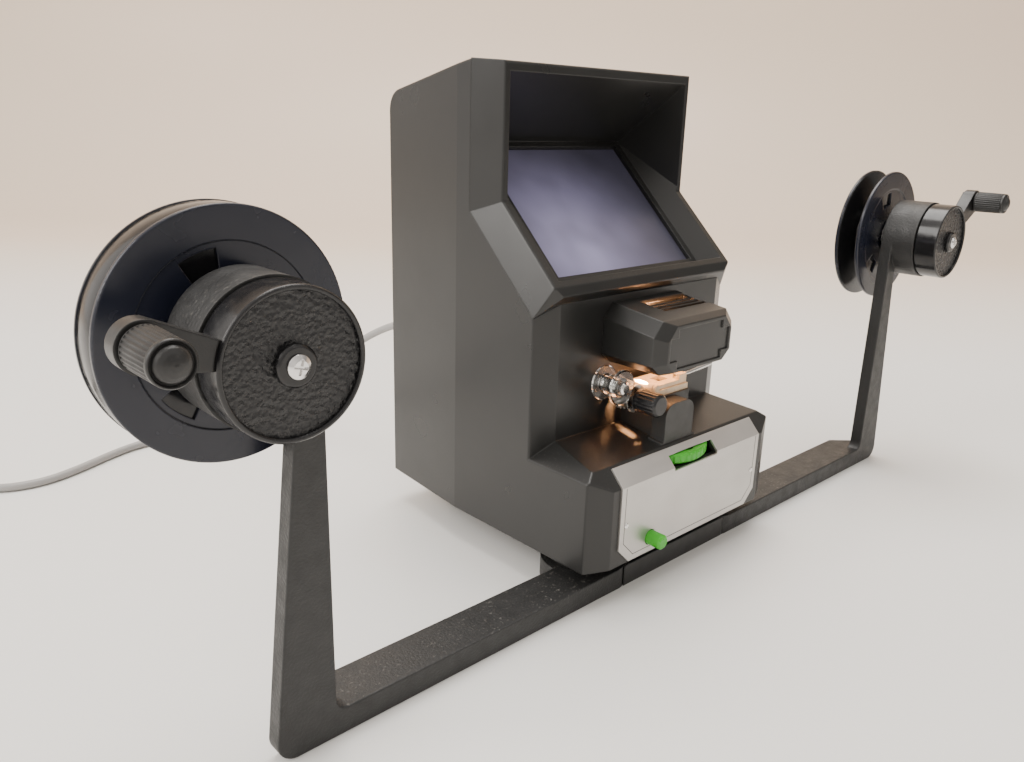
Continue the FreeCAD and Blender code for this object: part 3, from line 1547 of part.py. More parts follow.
def reel_flange(first_window, turn):
    front = reel_front_y
    rear = front + flange_thick
    bore = spun_y(reel_bore(front, rear), turn, axis_x, axis_z)
    return reel_disc(front, rear, front, first_window).cut(bore)


def reel_bore(y0, y1):
    cuts = [rod_y(spindle_radius + reel_bore_gap, y0, y1, axis_x, axis_z)]
    reach = spindle_radius + key_high + reel_key_gap
    for index in range(3):
        slot = block(axis_x, axis_x + reach, y0, y1, axis_z - key_half - reel_key_gap,
                     axis_z + key_half + reel_key_gap)
        cuts.append(spun_y(slot, 120.0 * index + key_first_deg, axis_x, axis_z))
    return cuts[0].fuse(cuts[1:])


def reel_disc(y0, y1, outside, first_window):
    """One flange; outside is the Y of the face that shows."""
    inward = 1 if outside == y0 else -1
    disc = rod_y(reel_radius, y0, y1, axis_x, axis_z)
    rim = [edge for edge in disc.Edges if abs(edge.BoundBox.YMin - outside) < 1e-6
           and abs(edge.BoundBox.YMax - outside) < 1e-6]
    disc = disc.makeFillet(0.6, rim)
    deep = outside + inward * reel_dish
    dish = rod_y(reel_line_radius, min(outside, deep), max(outside, deep), axis_x, axis_z)
    windows = []
    for index in range(window_count):
        half = math.radians(window_deg / 2)
        outline = arc_window(window_low_radius, window_high_radius, half)
        window = Part.Face(outline).extrude(Vector(0, y1 - y0 + 2.0, 0))
        window.translate(Vector(axis_x, y0 - 1.0, axis_z))
        windows.append(spun_y(window, first_window + 360.0 * index / window_count,
                              axis_x, axis_z))
    return disc.cut([dish] + windows)


def arc_window(low, high, half):
    """Outline of a window between two radii, centred on +X in the XZ plane."""
    def at(radius, angle):
        return Vector(radius * math.cos(angle), 0, radius * math.sin(angle))
    return Part.Wire([
        Part.Arc(at(low, -half), at(low, 0), at(low, half)).toShape(),
        Part.LineSegment(at(low, half), at(high, half)).toShape(),
        Part.Arc(at(high, half), at(high, 0), at(high, -half)).toShape(),
        Part.LineSegment(at(high, -half), at(low, -half)).toShape(),
    ])


# Cord

def relief():
    """Ribbed sleeve that keeps the cord from bending sharply where it leaves the cover."""
    rear = casing_rear + cover_thick
    tip = casing_rear + relief_length
    body = turned_y([
        (0, casing_rear - relief_collar), (relief_collar_radius, casing_rear - relief_collar),
        (relief_collar_radius, casing_rear), (relief_base_radius, casing_rear),
        (relief_base_radius, rear), (relief_base_radius + 0.8, rear),
        (relief_base_radius + 0.8, rear + 1.2), (relief_base_radius, rear + 1.2),
        (relief_tip_radius, tip), (0, tip),
    ], relief_x, relief_z)
    pitch = (tip - rear - 4.0) / relief_ribs
    rings = []
    for index in range(relief_ribs):
        y = rear + 3.0 + pitch * index
        share = (y - rear) / (tip - rear)
        radius = relief_base_radius + (relief_tip_radius - relief_base_radius) * share
        rings.append(ring_y(radius + 1.0, radius - 0.7, y, y + pitch * 0.45, relief_x, relief_z))
    return body.cut(rings)


def cord_points():
    start = Vector(relief_x, casing_rear + relief_length, relief_z)
    return [start] + [Vector(*point) for point in cord_route]


def tangent_start():
    """Angle on the coil's outer turn at which the last run of the route touches it."""
    last = cord_points()[-1]
    across = Vector(last.x - coil_x, last.y - coil_y, 0)
    return math.atan2(across.y, across.x) + math.acos(coil_outer / across.Length)


def bent_path(points, share):
    """Straight runs joined by tangent arcs, and the radii of the arcs."""
    edges = []
    radii = []
    start = points[0]
    for index in range(1, len(points) - 1):
        before = (points[index] - points[index - 1])
        after = (points[index + 1] - points[index])
        run = min(before.Length, after.Length)
        turn = before.getAngle(after)
        trim = share * run
        radii.append(trim / math.tan(turn / 2))
        enter = points[index] - before.normalize() * trim
        leave = points[index] + after.normalize() * trim
        inward = (after - before).normalize()
        middle = points[index] + inward * (radii[-1] / math.cos(turn / 2) - radii[-1])
        edges.append(Part.LineSegment(start, enter).toShape())
        edges.append(Part.Arc(enter, middle, leave).toShape())
        start = leave
    edges.append(Part.LineSegment(start, points[-1]).toShape())
    return edges, radii


def swept(edges, radius):
    """Round section carried along a path of edges that meet without a kink."""
    first = edges[0]
    direction = first.tangentAt(first.FirstParameter)
    section = Part.Wire([Part.Circle(first.valueAt(first.FirstParameter), direction,
                                     radius).toShape()])
    return Part.Wire(edges).makePipeShell([section], True, False)


def cord_tube():
    angle = tangent_start()
    touch = Vector(coil_x + coil_outer * math.cos(angle), coil_y + coil_outer * math.sin(angle),
                   cord_floor_z)
    points = cord_points()
    heading = (touch - points[-1]).normalize()
    points.append(touch - heading * 2 * cord_radius)
    edges, radii = bent_path(points, cord_run_share)
    print("cord bend radii", [round(radius, 1) for radius in radii])
    tube = swept(edges, cord_radius)
    length = sum(edge.Length for edge in edges)
    share = tube.Volume / (math.pi * cord_radius ** 2 * length)
    print("cord run length", round(length, 1), "volume share", round(share, 4))
    return tube


def coil_point(turn):
    """Place and direction on the wound part after so many turns."""
    down, climb = coil_turns_down, coil_climb
    middle = down + climb / 2
    high = cord_floor_z + coil_pitch
    radius = coil_outer - coil_pitch * (middle - abs(turn - middle))
    grow = math.copysign(coil_pitch, turn - middle)
    if turn in (0, middle):
        grow = 0.0
    z, rise = (cord_floor_z if turn <= down else high), 0.0
    if down < turn < down + climb:
        share = math.pi * (turn - down) / climb
        z = cord_floor_z + coil_pitch * (1 - math.cos(share)) / 2
        rise = coil_pitch * math.pi / climb * math.sin(share) / 2
    angle = tangent_start() + 2 * math.pi * turn
    place = Vector(coil_x + radius * math.cos(angle), coil_y + radius * math.sin(angle), z)
    around = 2 * math.pi * radius
    direction = Vector(grow * math.cos(angle) - around * math.sin(angle),
                       grow * math.sin(angle) + around * math.cos(angle), rise)
    return place, direction.normalize()


def biarc(p0, t0, p1, t1):
    """Two arcs from p0 to p1 that keep the given directions at both ends."""
    chord = p1 - p0
    both = t0 + t1
    a = 2 * (1 - t0.dot(t1))
    b = 2 * chord.dot(both)
    c = -chord.dot(chord)
    if abs(a) < 1e-9:
        reach = -c / b
    else:
        reach = (-b + math.sqrt(b * b - 4 * a * c)) / (2 * a)
    middle = (p0 + p1 + (t0 - t1) * reach) / 2
    return [arc_from(p0, t0, middle), arc_from(middle, (p1 - t1 * reach - (p0 + t0 * reach)),
                                               p1)]


def arc_from(start, direction, end):
    """Arc from start to end that leaves start in the given direction."""
    direction = Vector(direction).normalize()
    chord = end - start
    turn = direction.getAngle(chord)
    if turn < 1e-6:
        return Part.LineSegment(start, end).toShape()
    side = (chord - direction * chord.dot(direction)).normalize()
    radius = chord.Length / (2 * math.sin(turn))
    middle = start + direction * (radius * math.sin(turn)) + side * (radius * (1 - math.cos(turn)))
    return Part.Arc(start, middle, end).toShape()


def coil_path():
    steps = int(round((coil_turns_down + coil_climb + coil_turns_up) * coil_steps))
    stops = [coil_point(index / float(coil_steps)) for index in range(steps + 1)]
    first, heading = stops[0]
    edges = [Part.LineSegment(first - heading * 2 * cord_radius, first).toShape()]
    for (p0, t0), (p1, t1) in zip(stops, stops[1:]):
        edges += biarc(p0, t0, p1, t1)
    last, heading = stops[-1]
    edges.append(Part.LineSegment(last, last + heading * coil_lead).toShape())
    return edges, [place for place, direction in stops]


def coil_gap(stops):
    """Least distance between neighbouring turns, skin to skin."""
    least = coil_outer
    for index, place in enumerate(stops):
        for other in stops[index + coil_steps // 2:]:
            least = min(least, (other - place).Length)
    return least - 2 * cord_radius


def cord_coil():
    edges, stops = coil_path()
    tube = swept(edges, cord_radius)
    length = sum(edge.Length for edge in edges)
    share = tube.Volume / (math.pi * cord_radius ** 2 * length)
    print("coil length", round(length, 1), "volume share", round(share, 4),
          "least gap", round(coil_gap(stops), 2))
    return tube


def plug():
    """Flat two-pin plug, made along +X and turned to follow the end of the coil."""
    half, thick, long = plug_half_wide, plug_half_thick, plug_length
    body = slab_z([
        (0, -plug_tail_half), (plug_nose, -plug_tail_half), (long * 0.55, -half), (long, -half),
        (long, half), (long * 0.55, half), (plug_nose, plug_tail_half), (0, plug_tail_half),
    ], -thick, thick)
    body = body.makeFillet(plug_round, [edge for edge in body.Edges
                                        if edge.BoundBox.ZLength > thick])
    pins = []
    for y in (-plug_pin_half_gap, plug_pin_half_gap):
        pins.append(rod_x(plug_pin_radius, long, long + plug_pin_length - plug_pin_radius, y, 0))
        pins.append(Part.makeSphere(plug_pin_radius,
                                    Vector(long + plug_pin_length - plug_pin_radius, y, 0)))
    whole = body.fuse(pins)
    edges, stops = coil_path()
    last = edges[-1]
    place, heading = last.valueAt(last.LastParameter), last.tangentAt(last.LastParameter)
    whole.Placement = Placement(place, Rotation(Vector(1, 0, 0), heading))
    return whole


def main():
    os.makedirs("parts", exist_ok=True)
    save("casing", casing())
    save("screen_hood", screen_hood())
    save("viewing_screen", viewing_screen())
    save("rear_cover", rear_cover())
    save("bottom_plate", bottom_plate())
    save("cover_screws", cover_screws())
    save("name_plate", name_plate())
    save("plate_pins", plate_pins())
    save("centre_bar", centre_bar())
    save("rear_feet", rear_feet())
    save("projection_mirror", rear_mirror())
    save("lower_mirror", lower_mirror())
    save("lens_mount", lens_mount())
    save("lens_barrel", lens_barrel())
    save("lens_glass", lens_glass())
    save("focus_wheel", focus_wheel())
    save("switch_button", switch_button())
    save("lamp_switch", lamp_switch())
    save("transformer", transformer())
    save("lamp_housing", lamp_housing())
    save("condenser_lens", condenser_lens())
    save("lamp_socket", lamp_socket())
    save("lamp_bulb", lamp_bulb())
    save("gate_block", gate_block())
    save("film_gate", film_gate())
    save("pressure_plate", pressure_plate())
    save("gate_lever", gate_lever())
    save("prism", prism())
    line_deg = math.degrees(math.atan2(sprocket_z - prism_z, sprocket_x))
    save("prism_gear", gear(0, prism_z, line_deg))
    save("film_sprocket", film_sprocket())
    save("sprocket_gear", gear(sprocket_x, sprocket_z, line_deg + 180.0 + 180.0 / gear_teeth))
    save("sprocket_knob", sprocket_knob())
    save("guide_roller", guide_roller())
    save("roller_shaft", roller_shaft())
    save("pivot_screws", pivot_screws())
    sides = (("left", 180.0 - left_crank_deg, 180.0 - left_window_deg),
             ("right", right_crank_deg, right_window_deg))
    for side, turn, first_window in sides:
        shapes = {"arm": arm(), "arm_bush": arm_bush(), "reel_core": reel_core(first_window, turn),
                  "reel_flange": reel_flange(first_window, turn)}
        turning = {"spindle": spindle(), "crank_drum": crank_drum(), "drum_face": drum_face(),
                   "drum_screw": drum_screw(), "crank_lever": crank_lever(), "grip": grip()}
        for name, shape in turning.items():
            shapes[name] = spun_y(shape, turn, axis_x, axis_z)
        for name, shape in shapes.items():
            save(name + "_" + side, shape if side == "right" else mirrored(shape))
    save("strain_relief", relief())
    save("cord_tube", cord_tube())
    save("cord_coil", cord_coil())
    save("plug", plug())


main()
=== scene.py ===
import math

import bpy
from mathutils import Matrix, Vector


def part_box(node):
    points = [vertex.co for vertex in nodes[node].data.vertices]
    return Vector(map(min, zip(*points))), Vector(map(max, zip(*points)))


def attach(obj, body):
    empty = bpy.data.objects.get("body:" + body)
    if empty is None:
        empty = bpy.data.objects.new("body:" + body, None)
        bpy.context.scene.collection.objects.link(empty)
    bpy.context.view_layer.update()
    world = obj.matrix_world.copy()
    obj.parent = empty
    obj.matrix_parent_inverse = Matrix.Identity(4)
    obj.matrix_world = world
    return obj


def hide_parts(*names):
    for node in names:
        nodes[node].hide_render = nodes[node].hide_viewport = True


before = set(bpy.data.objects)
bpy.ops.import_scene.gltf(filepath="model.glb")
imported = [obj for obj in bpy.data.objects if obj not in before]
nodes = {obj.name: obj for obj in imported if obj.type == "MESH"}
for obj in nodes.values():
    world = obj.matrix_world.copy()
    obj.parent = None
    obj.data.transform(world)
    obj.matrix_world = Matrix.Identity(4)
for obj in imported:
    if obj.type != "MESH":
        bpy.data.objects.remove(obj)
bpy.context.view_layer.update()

bl_info = {
    "name": "Film Editor Viewer",
    "version": (1, 0, 0),
    "blender": (4, 5, 0),
    "location": "View3D > Sidebar > Film Editor",
    "description": "Finishes, cord, trim and stage of a viewer for editing narrow film",
    "category": "Object",
}

plate_low, plate_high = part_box("name_plate")
screen_low, screen_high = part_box("viewing_screen")
housing_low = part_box("lamp_housing")[0]
bulb_low, bulb_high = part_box("lamp_bulb")
core_low, core_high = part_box("reel_core_left")
flange_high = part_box("reel_flange_left")[1]

# The cord's route from the strain relief to the coil, and the coil, in metres
cord_start = (-0.015, 0.173, 0.084)
cord_route = (
    (-0.0156, 0.196, 0.083), (-0.019, 0.221, 0.074), (-0.030, 0.245, 0.057),
    (-0.049, 0.265, 0.037), (-0.073, 0.281, 0.0185), (-0.099, 0.293, 0.007),
    (-0.125, 0.302, 0.0029), (-0.146, 0.303, 0.0024), (-0.165, 0.296, 0.0023),
    (-0.183, 0.2865, 0.00235), (-0.205, 0.2785, 0.0023), (-0.226, 0.283, 0.00235),
    (-0.240, 0.301, 0.0023),
)
coil_centre = (-0.2755, 0.294)
coil_outer = 0.0333
coil_pitch = 0.00498
coil_turns_down = 3.5
coil_climb = 0.5
coil_turns_up = 3.25
coil_steps = 16
coil_lead = 0.036
coil_floor = 0.0023
tie_angle = math.radians(190)
tie_round = 0.4
tie_steps = 5

# Sizes that the solids have, in metres
crease_height = 0.054
plate_corner = 0.007
flange_thick = 0.0016
hub_radius = 0.0152
lining_sides = 128
line_lift = 0.00002
near = 1e-5

# How a sheet's edges are softened, as a share of its thickness, and where shading stays sharp
edge_share = 0.3
edge_steps = 2
sharp_angle = math.radians(35)

# The painted bright spot on the screen, a glow painted as emission on its face: its place from
# centre to low corner, its reach and its light
spot_share = (0.42, 0.62, 0.62)
spot_reach = (0.004, 0.075)
painted_spot_strength = (1.0, 0.22)
painted_glow_power = 0.66

# The soft lights: name, side, place and tone, all aimed at one point, in metres
light_aim = (0.0, 0.05, 0.1)
soft_lights = (
    ("key", 1.2, (-1.7, 0.5, 1.2), (1.0, 0.97, 0.93)),
    ("top", 1.4, (0.3, 0.5, 2.0), (1.0, 0.97, 0.93)),
    ("fill", 1.0, (0.9, -1.5, 1.0), (1.0, 0.95, 0.9)),
)
bright_way = (-0.72, 0.45, 0.53)
bright_span = (-0.7, 0.9)

# The lamp's own lights, placed from the bulb and the housing's lower edge, in metres
inside_shift = (0.012, 0.0, 0.004)
inside_radius = 0.003
panel_size = (0.044, 0.024)
panel_drop = 0.0006
beam_x = -0.010
beam_drop = 0.003
beam_angle = math.radians(50)
beam_blend = 0.5
beam_radius = 0.002
ledge_x = -0.029
ledge_shift = 0.004
ledge_height = 0.064

# The bend between floor and wall, and where the floor's tone turns to the wall's
bend_radius = 0.45
bend_steps = 16
tone_span = (0.35, 1.0)

sensor_width = 36.0
nearest_view = 0.01

# Tones that no setting changes
dust_tone = (0.30, 0.285, 0.26)
black_rubber = (0.02, 0.02, 0.02)
# Dark tone of the thin line drawn along the name plate's border
border_line_tone = (0.16, 0.155, 0.15)


def colour(name, description, default):
    return bpy.props.FloatVectorProperty(
        name=name, description=description, default=default, subtype="COLOR", size=3,
        min=0.0, max=1.0)


def length(name, description, default):
    return bpy.props.FloatProperty(
        name=name, description=description, default=default, min=0.0, precision=5,
        unit="LENGTH")


class FinishSettings(bpy.types.PropertyGroup):
    """Colours and grain of the finishes."""
    enamel: colour("Enamel", "Satin black of the casing and hood", (0.013, 0.013, 0.0125))
    texture_paint: colour("Texture paint", "Rough black of the arms", (0.016, 0.016, 0.016))
    gloss_black: colour("Gloss black", "Moulded crank drums and knob", (0.008, 0.008, 0.009))
    satin_black: colour("Satin black", "Grips, levers and small mouldings", (0.012, 0.012, 0.012))
    reel_black: colour("Reel", "Blue-black moulded reels", (0.010, 0.012, 0.022))
    plate_silver: colour("Name plate", "Satin silver plate", (0.62, 0.60, 0.575))
    green: colour("Green", "Focus wheel and switch button", (0.05, 0.44, 0.02))
    cream: colour("Cream", "Film gate and pressure plate", (0.72, 0.60, 0.42))
    casting: colour("Casting", "Lacquered grey gate block", (0.022, 0.022, 0.021))
    screen_tint: colour("Screen", "Frosted face of the screen", (0.030, 0.030, 0.042))
    # Painted light: colour of the glow painted as emission on the screen's face
    screen_painted_glow: colour("Screen light", "Light of the lamp on the screen", (0.50, 0.45, 0.70))
    lamp_light: colour("Lamp light", "Warm light of the lamp", (1.0, 0.46, 0.20))
    cord_grey: colour("Cord", "Grey insulation of the cord", (0.34, 0.33, 0.32))
    enamel_grain: length("Enamel grain", "Width of the enamel's grain", 0.00045)
    paint_grain: length("Paint grain", "Width of the texture paint's lumps", 0.0011)
    face_grain: length("Face grain", "Width of the drum face's lumps", 0.0013)
    soft_edge: length("Soft edge", "Radius of worn edges", 0.0007)


class CordSettings(bpy.types.PropertyGroup):
    """Sizes of the cord and its tie."""
    diameter: length("Diameter", "Outer diameter of the cord", 0.0045)
    run: length("Length", "Length of the cord from relief to plug", 1.46)
    tie_width: length("Tie width", "Width of the strap round the coil", 0.007)
    tie_thick: length("Tie thickness", "Thickness of the strap round the coil", 0.0006)


class TrimSettings(bpy.types.PropertyGroup):
    """Sizes of the trim on the name plate and in the reels."""
    border_inset: length("Border inset", "From the plate's edge to its border line", 0.0026)
    border_width: length("Border width", "Width of the plate's border line", 0.0003)
    lining_thick: length("Lining thickness", "Thickness of the linings in the reels", 0.0006)
    lining_gap: length("Lining gap", "Room between a lining and its flange", 0.00015)
    rim_inset: length("Rim inset", "From a flange's edge to the wall inside it", 0.0004)


class StageSettings(bpy.types.PropertyGroup):
    """Floor, light and camera."""
    floor_size: length("Floor", "Side of the floor", 6.0)
    wall_distance: length("Wall distance", "From the part to the wall behind it", 1.7)
    floor_colour: colour("Floor colour", "Pale table top", (0.82, 0.81, 0.785))
    wall_colour: colour("Wall colour", "Warm pale wall", (0.76, 0.63, 0.51))
    sky: colour("Room", "Light of the room", (1.0, 0.94, 0.88))
    sky_bright: bpy.props.FloatProperty(
        name="Bright side", description="Light of the room's bright side", default=1.5, min=0.0)
    sky_dim: bpy.props.FloatProperty(
        name="Dim side", description="Light of the room's dim side", default=0.30, min=0.0)
    key_power: bpy.props.FloatProperty(
        name="Key light", description="Power of the light at the left", default=30.0, unit="POWER")
    top_power: bpy.props.FloatProperty(
        name="Top light", description="Power of the light above", default=46.0, unit="POWER")
    fill_power: bpy.props.FloatProperty(
        name="Fill light", description="Power of the light in front", default=3.0, unit="POWER")
    lamp_power: bpy.props.FloatProperty(
        name="Lamp", description="Power of the lamp in its housing", default=0.08, unit="POWER")
    gate_power: bpy.props.FloatProperty(
        name="Gate light", description="Power of the lamp's light on the gate", default=0.022,
        unit="POWER")
    ledge_power: bpy.props.FloatProperty(
        name="Ledge light", description="Power of the lamp's light on the ledge", default=6.0,
        unit="POWER")
    lens: bpy.props.FloatProperty(
        name="Lens", description="Focal length of the camera in millimetres", default=29.68)
    camera_place: bpy.props.FloatVectorProperty(
        name="Camera place", description="Where the camera stands", subtype="TRANSLATION",
        size=3, default=(-0.31058, -0.21142, 0.20170))
    camera_turn: bpy.props.FloatProperty(
        name="Camera turn", description="Turn from +Y towards +X", subtype="ANGLE",
        default=math.radians(43.17))
    camera_dip: bpy.props.FloatProperty(
        name="Camera dip", description="Dip below the horizon", subtype="ANGLE",
        default=math.radians(17.21))
    camera_roll: bpy.props.FloatProperty(
        name="Camera roll", description="Lift of the picture's right side", subtype="ANGLE",
        default=math.radians(1.6))


# Building blocks of the finishes

def add(tree, kind, **settings):
    node = tree.nodes.new(kind)
    for name, value in settings.items():
        setattr(node, name, value)
    return node


def start_finish(name, colour, roughness, metallic=0.0):
    """New material; what is the same all over it is set on its shader."""
    material = bpy.data.materials.new(name)
    material.use_nodes = True
    tree = material.node_tree
    shader = tree.nodes["Principled BSDF"]
    shader.inputs["Base Color"].default_value = (*colour, 1.0)
    shader.inputs["Roughness"].default_value = roughness
    shader.inputs["Metallic"].default_value = metallic
    return material, tree, shader


def object_place(tree, scale=(1.0, 1.0, 1.0)):
    place = add(tree, "ShaderNodeTexCoord")
    mapping = add(tree, "ShaderNodeMapping")
    mapping.inputs["Scale"].default_value = scale
    tree.links.new(place.outputs["Object"], mapping.inputs["Vector"])
    return mapping.outputs["Vector"]


def grain(tree, size, detail=2.0, stretch=(1.0, 1.0, 1.0)):
    """Noise whose spots are about size metres wide, drawn out by stretch."""
    place = object_place(tree, [1.0 / (size * part) for part in stretch])
    texture = add(tree, "ShaderNodeTexNoise")
    texture.inputs["Scale"].default_value = 1.0
    texture.inputs["Detail"].default_value = detail
    tree.links.new(place, texture.inputs["Vector"])
    return texture.outputs["Fac"]


def cells(tree, size):
    """Rounded lumps about size metres apart."""
    place = object_place(tree, [1.0 / size] * 3)
    texture = add(tree, "ShaderNodeTexVoronoi", feature="SMOOTH_F1")
    texture.inputs["Scale"].default_value = 1.0
    tree.links.new(place, texture.inputs["Vector"])
    return texture.outputs["Distance"]


def spread(tree, value, low, high, out_low, out_high):
    """Value from low to high, spread over out_low to out_high and held at both ends."""
    node = add(tree, "ShaderNodeMapRange")
    node.inputs["From Min"].default_value = low
    node.inputs["From Max"].default_value = high
    node.inputs["To Min"].default_value = out_low
    node.inputs["To Max"].default_value = out_high
    tree.links.new(value, node.inputs["Value"])
    return node.outputs["Result"]


def maths(tree, operation, first, second):
    """Sum, product or other result of two values; second may be a plain number."""
    node = add(tree, "ShaderNodeMath", operation=operation)
    tree.links.new(first, node.inputs[0])
    if isinstance(second, float):
        node.inputs[1].default_value = second
    else:
        tree.links.new(second, node.inputs[1])
    return node.outputs["Value"]


def tinted(tree, share, first, second):
    """Colour between first and second, by share."""
    node = add(tree, "ShaderNodeMix", data_type="RGBA")
    tree.links.new(share, node.inputs[0])
    node.inputs[6].default_value = (*first, 1.0)
    node.inputs[7].default_value = (*second, 1.0)
    return node.outputs[2]


def facing_up(tree):
    """How far a surface faces upwards, from 0 to 1."""
    geometry = add(tree, "ShaderNodeNewGeometry")
    parts = add(tree, "ShaderNodeSeparateXYZ")
    tree.links.new(geometry.outputs["Normal"], parts.inputs["Vector"])
    return spread(tree, parts.outputs["Z"], 0.2, 0.9, 0.0, 1.0)


def put_bumps(tree, shader, bumps, edge=0.0):
    """Bumps, each a height and its depth in metres, over edges rounded by a radius."""
    normal = None
    if edge:
        soft = add(tree, "ShaderNodeBevel", samples=6)
        soft.inputs["Radius"].default_value = edge
        normal = soft.outputs["Normal"]
    for height, depth in bumps:
        bump = add(tree, "ShaderNodeBump")
        bump.inputs["Distance"].default_value = depth
        tree.links.new(height, bump.inputs["Height"])
        if normal:
            tree.links.new(normal, bump.inputs["Normal"])
        normal = bump.outputs["Normal"]
    tree.links.new(normal, shader.inputs["Normal"])


def put_dust(tree, shader, colour, amount, size=0.0009):
    """Fine pale dust, mostly on what faces upwards."""
    specks = spread(tree, grain(tree, size, 3.0), 0.60, 0.74, 0.0, 1.0)
    patches = spread(tree, grain(tree, 0.03, 2.0), 0.35, 0.7, 0.15, 1.0)
    share = maths(tree, "MULTIPLY", maths(tree, "MULTIPLY", specks, patches), facing_up(tree))
    share = maths(tree, "MULTIPLY", share, amount)
    tree.links.new(tinted(tree, share, colour, dust_tone), shader.inputs["Base Color"])


def vary_roughness(tree, shader, low, high, size=0.02, stretch=(1.0, 1.0, 1.0)):
    value = spread(tree, grain(tree, size, 3.0, stretch), 0.3, 0.7, low, high)
    tree.links.new(value, shader.inputs["Roughness"])


def give(material, *names):
    """Put one finish on every face of these nodes."""
    for name in names:
        mesh = nodes[name].data
        mesh.materials.clear()
        mesh.materials.append(material)


def both(*names):
    return [name + side for name in names for side in ("_left", "_right")]


# Finishes

def enamel_finish(settings):
    tone = tuple(settings.enamel)
    material, tree, shader = start_finish("satin_enamel", tone, 0.3)
    fine = grain(tree, settings.enamel_grain, 2.0)
    waves = grain(tree, 0.012, 1.0)
    put_bumps(tree, shader, [(waves, 0.00005), (fine, 0.000015)], settings.soft_edge)
    vary_roughness(tree, shader, 0.27, 0.35, 0.025)
    put_dust(tree, shader, tone, 0.15)
    return material


def texture_paint_finish(settings):
    tone = tuple(settings.texture_paint)
    material, tree, shader = start_finish("texture_paint", tone, 0.5)
    lumps = grain(tree, settings.paint_grain, 3.0)
    put_bumps(tree, shader, [(lumps, 0.00022)], settings.soft_edge)
    vary_roughness(tree, shader, 0.40, 0.56, 0.006)
    put_dust(tree, shader, tone, 0.45, 0.0013)
    return material


def drum_face_finish(settings):
    tone = tuple(settings.gloss_black)
    material, tree, shader = start_finish("coarse_face", tone, 0.3)
    lumps = cells(tree, settings.face_grain)
    fine = grain(tree, settings.face_grain * 0.5, 3.0)
    put_bumps(tree, shader, [(lumps, 0.0005), (fine, 0.0003)])
    vary_roughness(tree, shader, 0.18, 0.42, 0.002)
    return material


def gloss_finish(settings):
    tone = tuple(settings.gloss_black)
    material, tree, shader = start_finish("gloss_moulding", tone, 0.16)
    waves = grain(tree, 0.006, 1.0)
    hair = grain(tree, 0.0006, 2.0, (1.0, 14.0, 1.0))
    put_bumps(tree, shader, [(waves, 0.00004), (hair, 0.000006)], settings.soft_edge)
    vary_roughness(tree, shader, 0.12, 0.24, 0.004)
    put_dust(tree, shader, tone, 0.25, 0.0006)
    return material


def satin_finish(settings):
    tone = tuple(settings.satin_black)
    material, tree, shader = start_finish("satin_moulding", tone, 0.36)
    fine = grain(tree, 0.0005, 2.0)
    put_bumps(tree, shader, [(fine, 0.00003)], settings.soft_edge)
    vary_roughness(tree, shader, 0.30, 0.44, 0.005)
    put_dust(tree, shader, tone, 0.3, 0.0007)
    return material


def reel_finish(settings):
    tone = tuple(settings.reel_black)
    material, tree, shader = start_finish("reel_moulding", tone, 0.3)
    flow = grain(tree, 0.009, 2.0)
    fine = grain(tree, 0.0004, 2.0)
    put_bumps(tree, shader, [(flow, 0.00001), (fine, 0.000006)], settings.soft_edge)
    vary_roughness(tree, shader, 0.20, 0.30, 0.012)
    put_dust(tree, shader, tone, 0.2, 0.0007)
    return material


def screen_finish(settings):
    """Frosted face, with a painted glow emitted by the face itself, brightest towards its lower
    left.
    """
    tone = tuple(settings.screen_tint)
    material, tree, shader = start_finish("frosted_screen", tone, 0.34)
    fine = grain(tree, 0.0003, 2.0)
    put_bumps(tree, shader, [(fine, 0.00001)])
    # Painted light: emission strength set by distance from the bright spot, varied by noise
    centre = (screen_low + screen_high) / 2
    bright = centre + (screen_low - centre) * Vector(spot_share)
    away = add(tree, "ShaderNodeVectorMath", operation="DISTANCE")
    tree.links.new(object_place(tree), away.inputs[0])
    away.inputs[1].default_value = bright
    glow = spread(tree, away.outputs["Value"], *spot_reach, *painted_spot_strength)
    soft = maths(tree, "MULTIPLY", glow, glow)
    cloud = spread(tree, grain(tree, 0.02, 1.0), 0.3, 0.7, 0.8, 1.1)
    strength = maths(tree, "MULTIPLY", maths(tree, "MULTIPLY", soft, cloud), painted_glow_power)
    shader.inputs["Emission Color"].default_value = (*settings.screen_painted_glow, 1.0)
    tree.links.new(strength, shader.inputs["Emission Strength"])
    vary_roughness(tree, shader, 0.28, 0.38, 0.008)
    return material


def plate_finish(settings):
    """Satin silver sheet, lightly brushed along its length."""
    tone = tuple(settings.plate_silver)
    material, tree, shader = start_finish("silver_plate", tone, 0.4, 0.85)
    brushed = grain(tree, 0.00012, 2.0, (60.0, 1.0, 1.0))
    put_bumps(tree, shader, [(brushed, 0.000004)], settings.soft_edge * 0.5)
    vary_roughness(tree, shader, 0.36, 0.46, 0.004, (4.0, 1.0, 1.0))
    cloud = spread(tree, grain(tree, 0.02, 2.0), 0.3, 0.7, 0.0, 1.0)
    worn = tuple(part * 0.93 for part in tone)
    tree.links.new(tinted(tree, cloud, tone, worn), shader.inputs["Base Color"])
    return material


def green_finish(settings):
    tone = tuple(settings.green)
    material, tree, shader = start_finish("green_moulding", tone, 0.3)
    shader.inputs["Subsurface Weight"].default_value = 0.15
    shader.inputs["Subsurface Radius"].default_value = (0.4, 1.0, 0.3)
    shader.inputs["Subsurface Scale"].default_value = 0.001
    fine = grain(tree, 0.0005, 2.0)
    put_bumps(tree, shader, [(fine, 0.00002)], settings.soft_edge * 0.6)
    vary_roughness(tree, shader, 0.26, 0.38, 0.004)
    cloud = spread(tree, grain(tree, 0.008, 2.0), 0.35, 0.65, 0.0, 1.0)
    deep = tuple(part * 0.86 for part in tone)
    tree.links.new(tinted(tree, cloud, tone, deep), shader.inputs["Base Color"])
    return material


